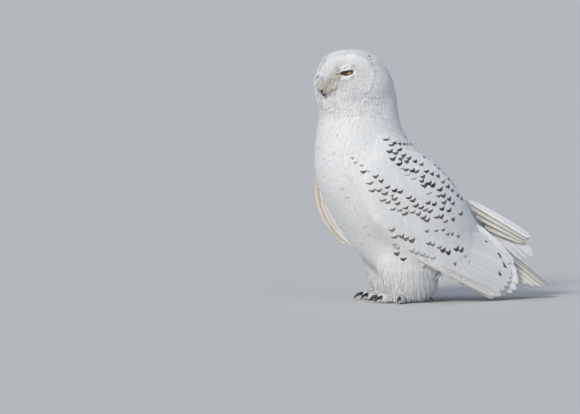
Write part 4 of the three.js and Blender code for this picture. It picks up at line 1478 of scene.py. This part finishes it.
# eyes: a ball with its iris, and lids that leave a narrow slit
lidStyle = {
    "points": 61,  # along a lid
    "past": 16,  # degrees that it runs on past the corners
    "white": np.array([0.45, 0.44, 0.42]),
    "dark": np.array([0.016, 0.012, 0.01]),
    # across a lid: degrees back from its edge, millimetres out from the ball, how dark
    "upper": [
        (34, 0.1, 0), (5, 0.15, 1), (0.5, 0.2, 1), (-1, 0.6, 1), (0.5, 1.3, 1), (3, 1.7, 1),
        (5.5, 1.8, 0.7), (8, 1.7, 0.05), (20, 1.4, 0), (40, -0.3, 0), (58, -2.6, 0),
    ],
    "lower": [
        (34, 0.1, 0), (5, 0.15, 1), (0.5, 0.2, 1), (-1, 0.5, 1), (0, 1.0, 1), (2.5, 1.3, 0.9),
        (5, 1.45, 0.2), (9, 1.5, 0), (20, 1.3, 0), (40, -0.3, 0), (58, -2.6, 0),
    ],
}


def lattice(rows, columns):
    # quads over a grid of points, its last row joined to its first
    r, c = np.meshgrid(np.arange(rows), np.arange(columns - 1), indexing="ij")
    a, b = (r * columns + c).ravel(), ((r + 1) % rows * columns + c).ravel()
    return np.column_stack([a, a + 1, b + 1, b])


def eyeball(side):
    name = "eyeball_" + side
    gaze, out, up = eyeAxes(side, slit["gaze"])
    polar = np.linspace(0.001, math.pi - 0.001, eyeStyle["rings"])[None, :, None]
    turned = np.linspace(0, 2 * math.pi, eyeStyle["turns"], endpoint=False)[:, None, None]
    ball = np.cos(polar) * gaze + np.sin(polar) * (np.cos(turned) * out + np.sin(turned) * up)
    points = eyes[side] + eyeRadius * ball.reshape(-1, 3)
    eye = linked(name, quadMesh(name, points, lattice(eyeStyle["turns"], eyeStyle["rings"])))
    fromPupil = np.where(polar < math.pi / 2, np.sin(polar) * eyeRadius / mm, 20) * np.ones_like(turned)
    turns = np.cos(turned) * np.ones_like(polar)
    # how high between the lids, from -1 at the lower edge to 1 at the upper, by which the upper lid's shade
    # is painted on the iris
    lift = np.clip((eyeAngles(side, points)[1] + 2) / 12, -1, 1).reshape(turns.shape)
    pointData(eye.data, "ring", np.concatenate([fromPupil, turns, lift], -1).reshape(-1, 3))
    eye.data.materials.append(irisFinish)
    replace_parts(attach(eye, "root"), "eye_" + side)


def eyelid(side, upper):
    edge = "upper" if upper else "lower"
    name = edge + "_lid_" + side
    gaze, out, up = eyeAxes(side)
    count, end = lidStyle["points"], slit["half"] + lidStyle["past"]
    back, proud, dark = (np.array(column)[:, None] for column in zip(*lidStyle[edge]))
    rows = len(back)
    sideways = np.linspace(-end, end, count)
    fade = 1 - 0.5 * ease(np.abs(sideways), slit["half"] - 10, end)[None]
    sign = 1 if upper else -1
    height = np.radians(lidEdge(sideways, upper)[None] + sign * (back * fade))
    across = np.radians(sideways)[None] * np.ones_like(height)
    way = (np.cos(height) * np.cos(across))[..., None] * gaze
    way = way + (np.cos(height) * np.sin(across))[..., None] * out + np.sin(height)[..., None] * up
    sunk = 3.0 * ease(np.abs(sideways), slit["half"] + 4, end)[None]
    points = eyes[side] + way * (eyeRadius + np.maximum(proud - sunk, -3) * mm)[..., None]
    quads = lattice(rows, count)
    ends = [np.arange(rows) * count, np.arange(rows)[::-1] * count + count - 1]
    if upper != (side == "left"):
        quads = quads[:, ::-1]
        ends = [cap[::-1] for cap in ends]
    loops = np.concatenate([quads.ravel(), *ends])
    lid = linked(name, meshOf(name, points.reshape(-1, 3), loops, [4] * len(quads) + [rows, rows]))
    darkness = np.clip(dark * fade ** 0.4, 0, 1)[..., None] * np.ones((1, count, 1))
    shade = lerp(lidStyle["white"], lidStyle["dark"], darkness).reshape(-1, 3)
    pointData(lid.data, "tint", np.column_stack([shade, np.ones(len(shade))]))
    lid.data.materials.append(rimFinish)
    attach(lid, "root")


for side in ("left", "right"):
    eyeball(side)
    eyelid(side, True)
    eyelid(side, False)
print("eyes and lids")

# bill and claws: the solids with their facets melted away
horn = {"bill": 0.8, "claw": 0.55, "rounds": 30}  # millimetres between points, and rounds of smoothing
for node in sorted(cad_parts):
    kind = node.split("_")[0]
    if kind not in horn:
        continue
    points, quads = melted([solidData(node)], horn[kind] * mm)
    points = smoothed(points, neighbourMean(quads, len(points)), horn["rounds"])
    piece = linked("horn_" + node, quadMesh("horn_" + node, points, quads))
    piece.data.materials.append(darkFinish)
    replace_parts(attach(piece, "root"), node)
print("bill and claws")


# the skin, under the coat
skin = linked("skin", quadMesh("skin", skinPoints, hullQuads))
skin.data.materials.append(downFinish)
marks, brown = markAt(skinPoints[:, None], hullPoints)
pointData(skin.data, "mark", marks[0][:, 0])
pointData(skin.data, "second", marks[1][:, 0])
skinTint = np.tile(plumageWhite * 0.96, (len(skinPoints), 1))
onFace = faceDistance(hullPoints) < 60
skinTint[onFace] = faceTint(hullPoints[onFace], skinTint[onFace], np.full(onFace.sum(), 0.5))
pointData(skin.data, "tint", np.column_stack([skinTint, brown]))
mapped(skin.data, octahedral(skinPoints, hullQuads))
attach(skin, "root")
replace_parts(skin, "head", "neck", "trunk", "wing_left", "wing_right", "leg_left", "leg_right", "foot_left",
            "foot_right")
print("skin", len(skinPoints), "points")
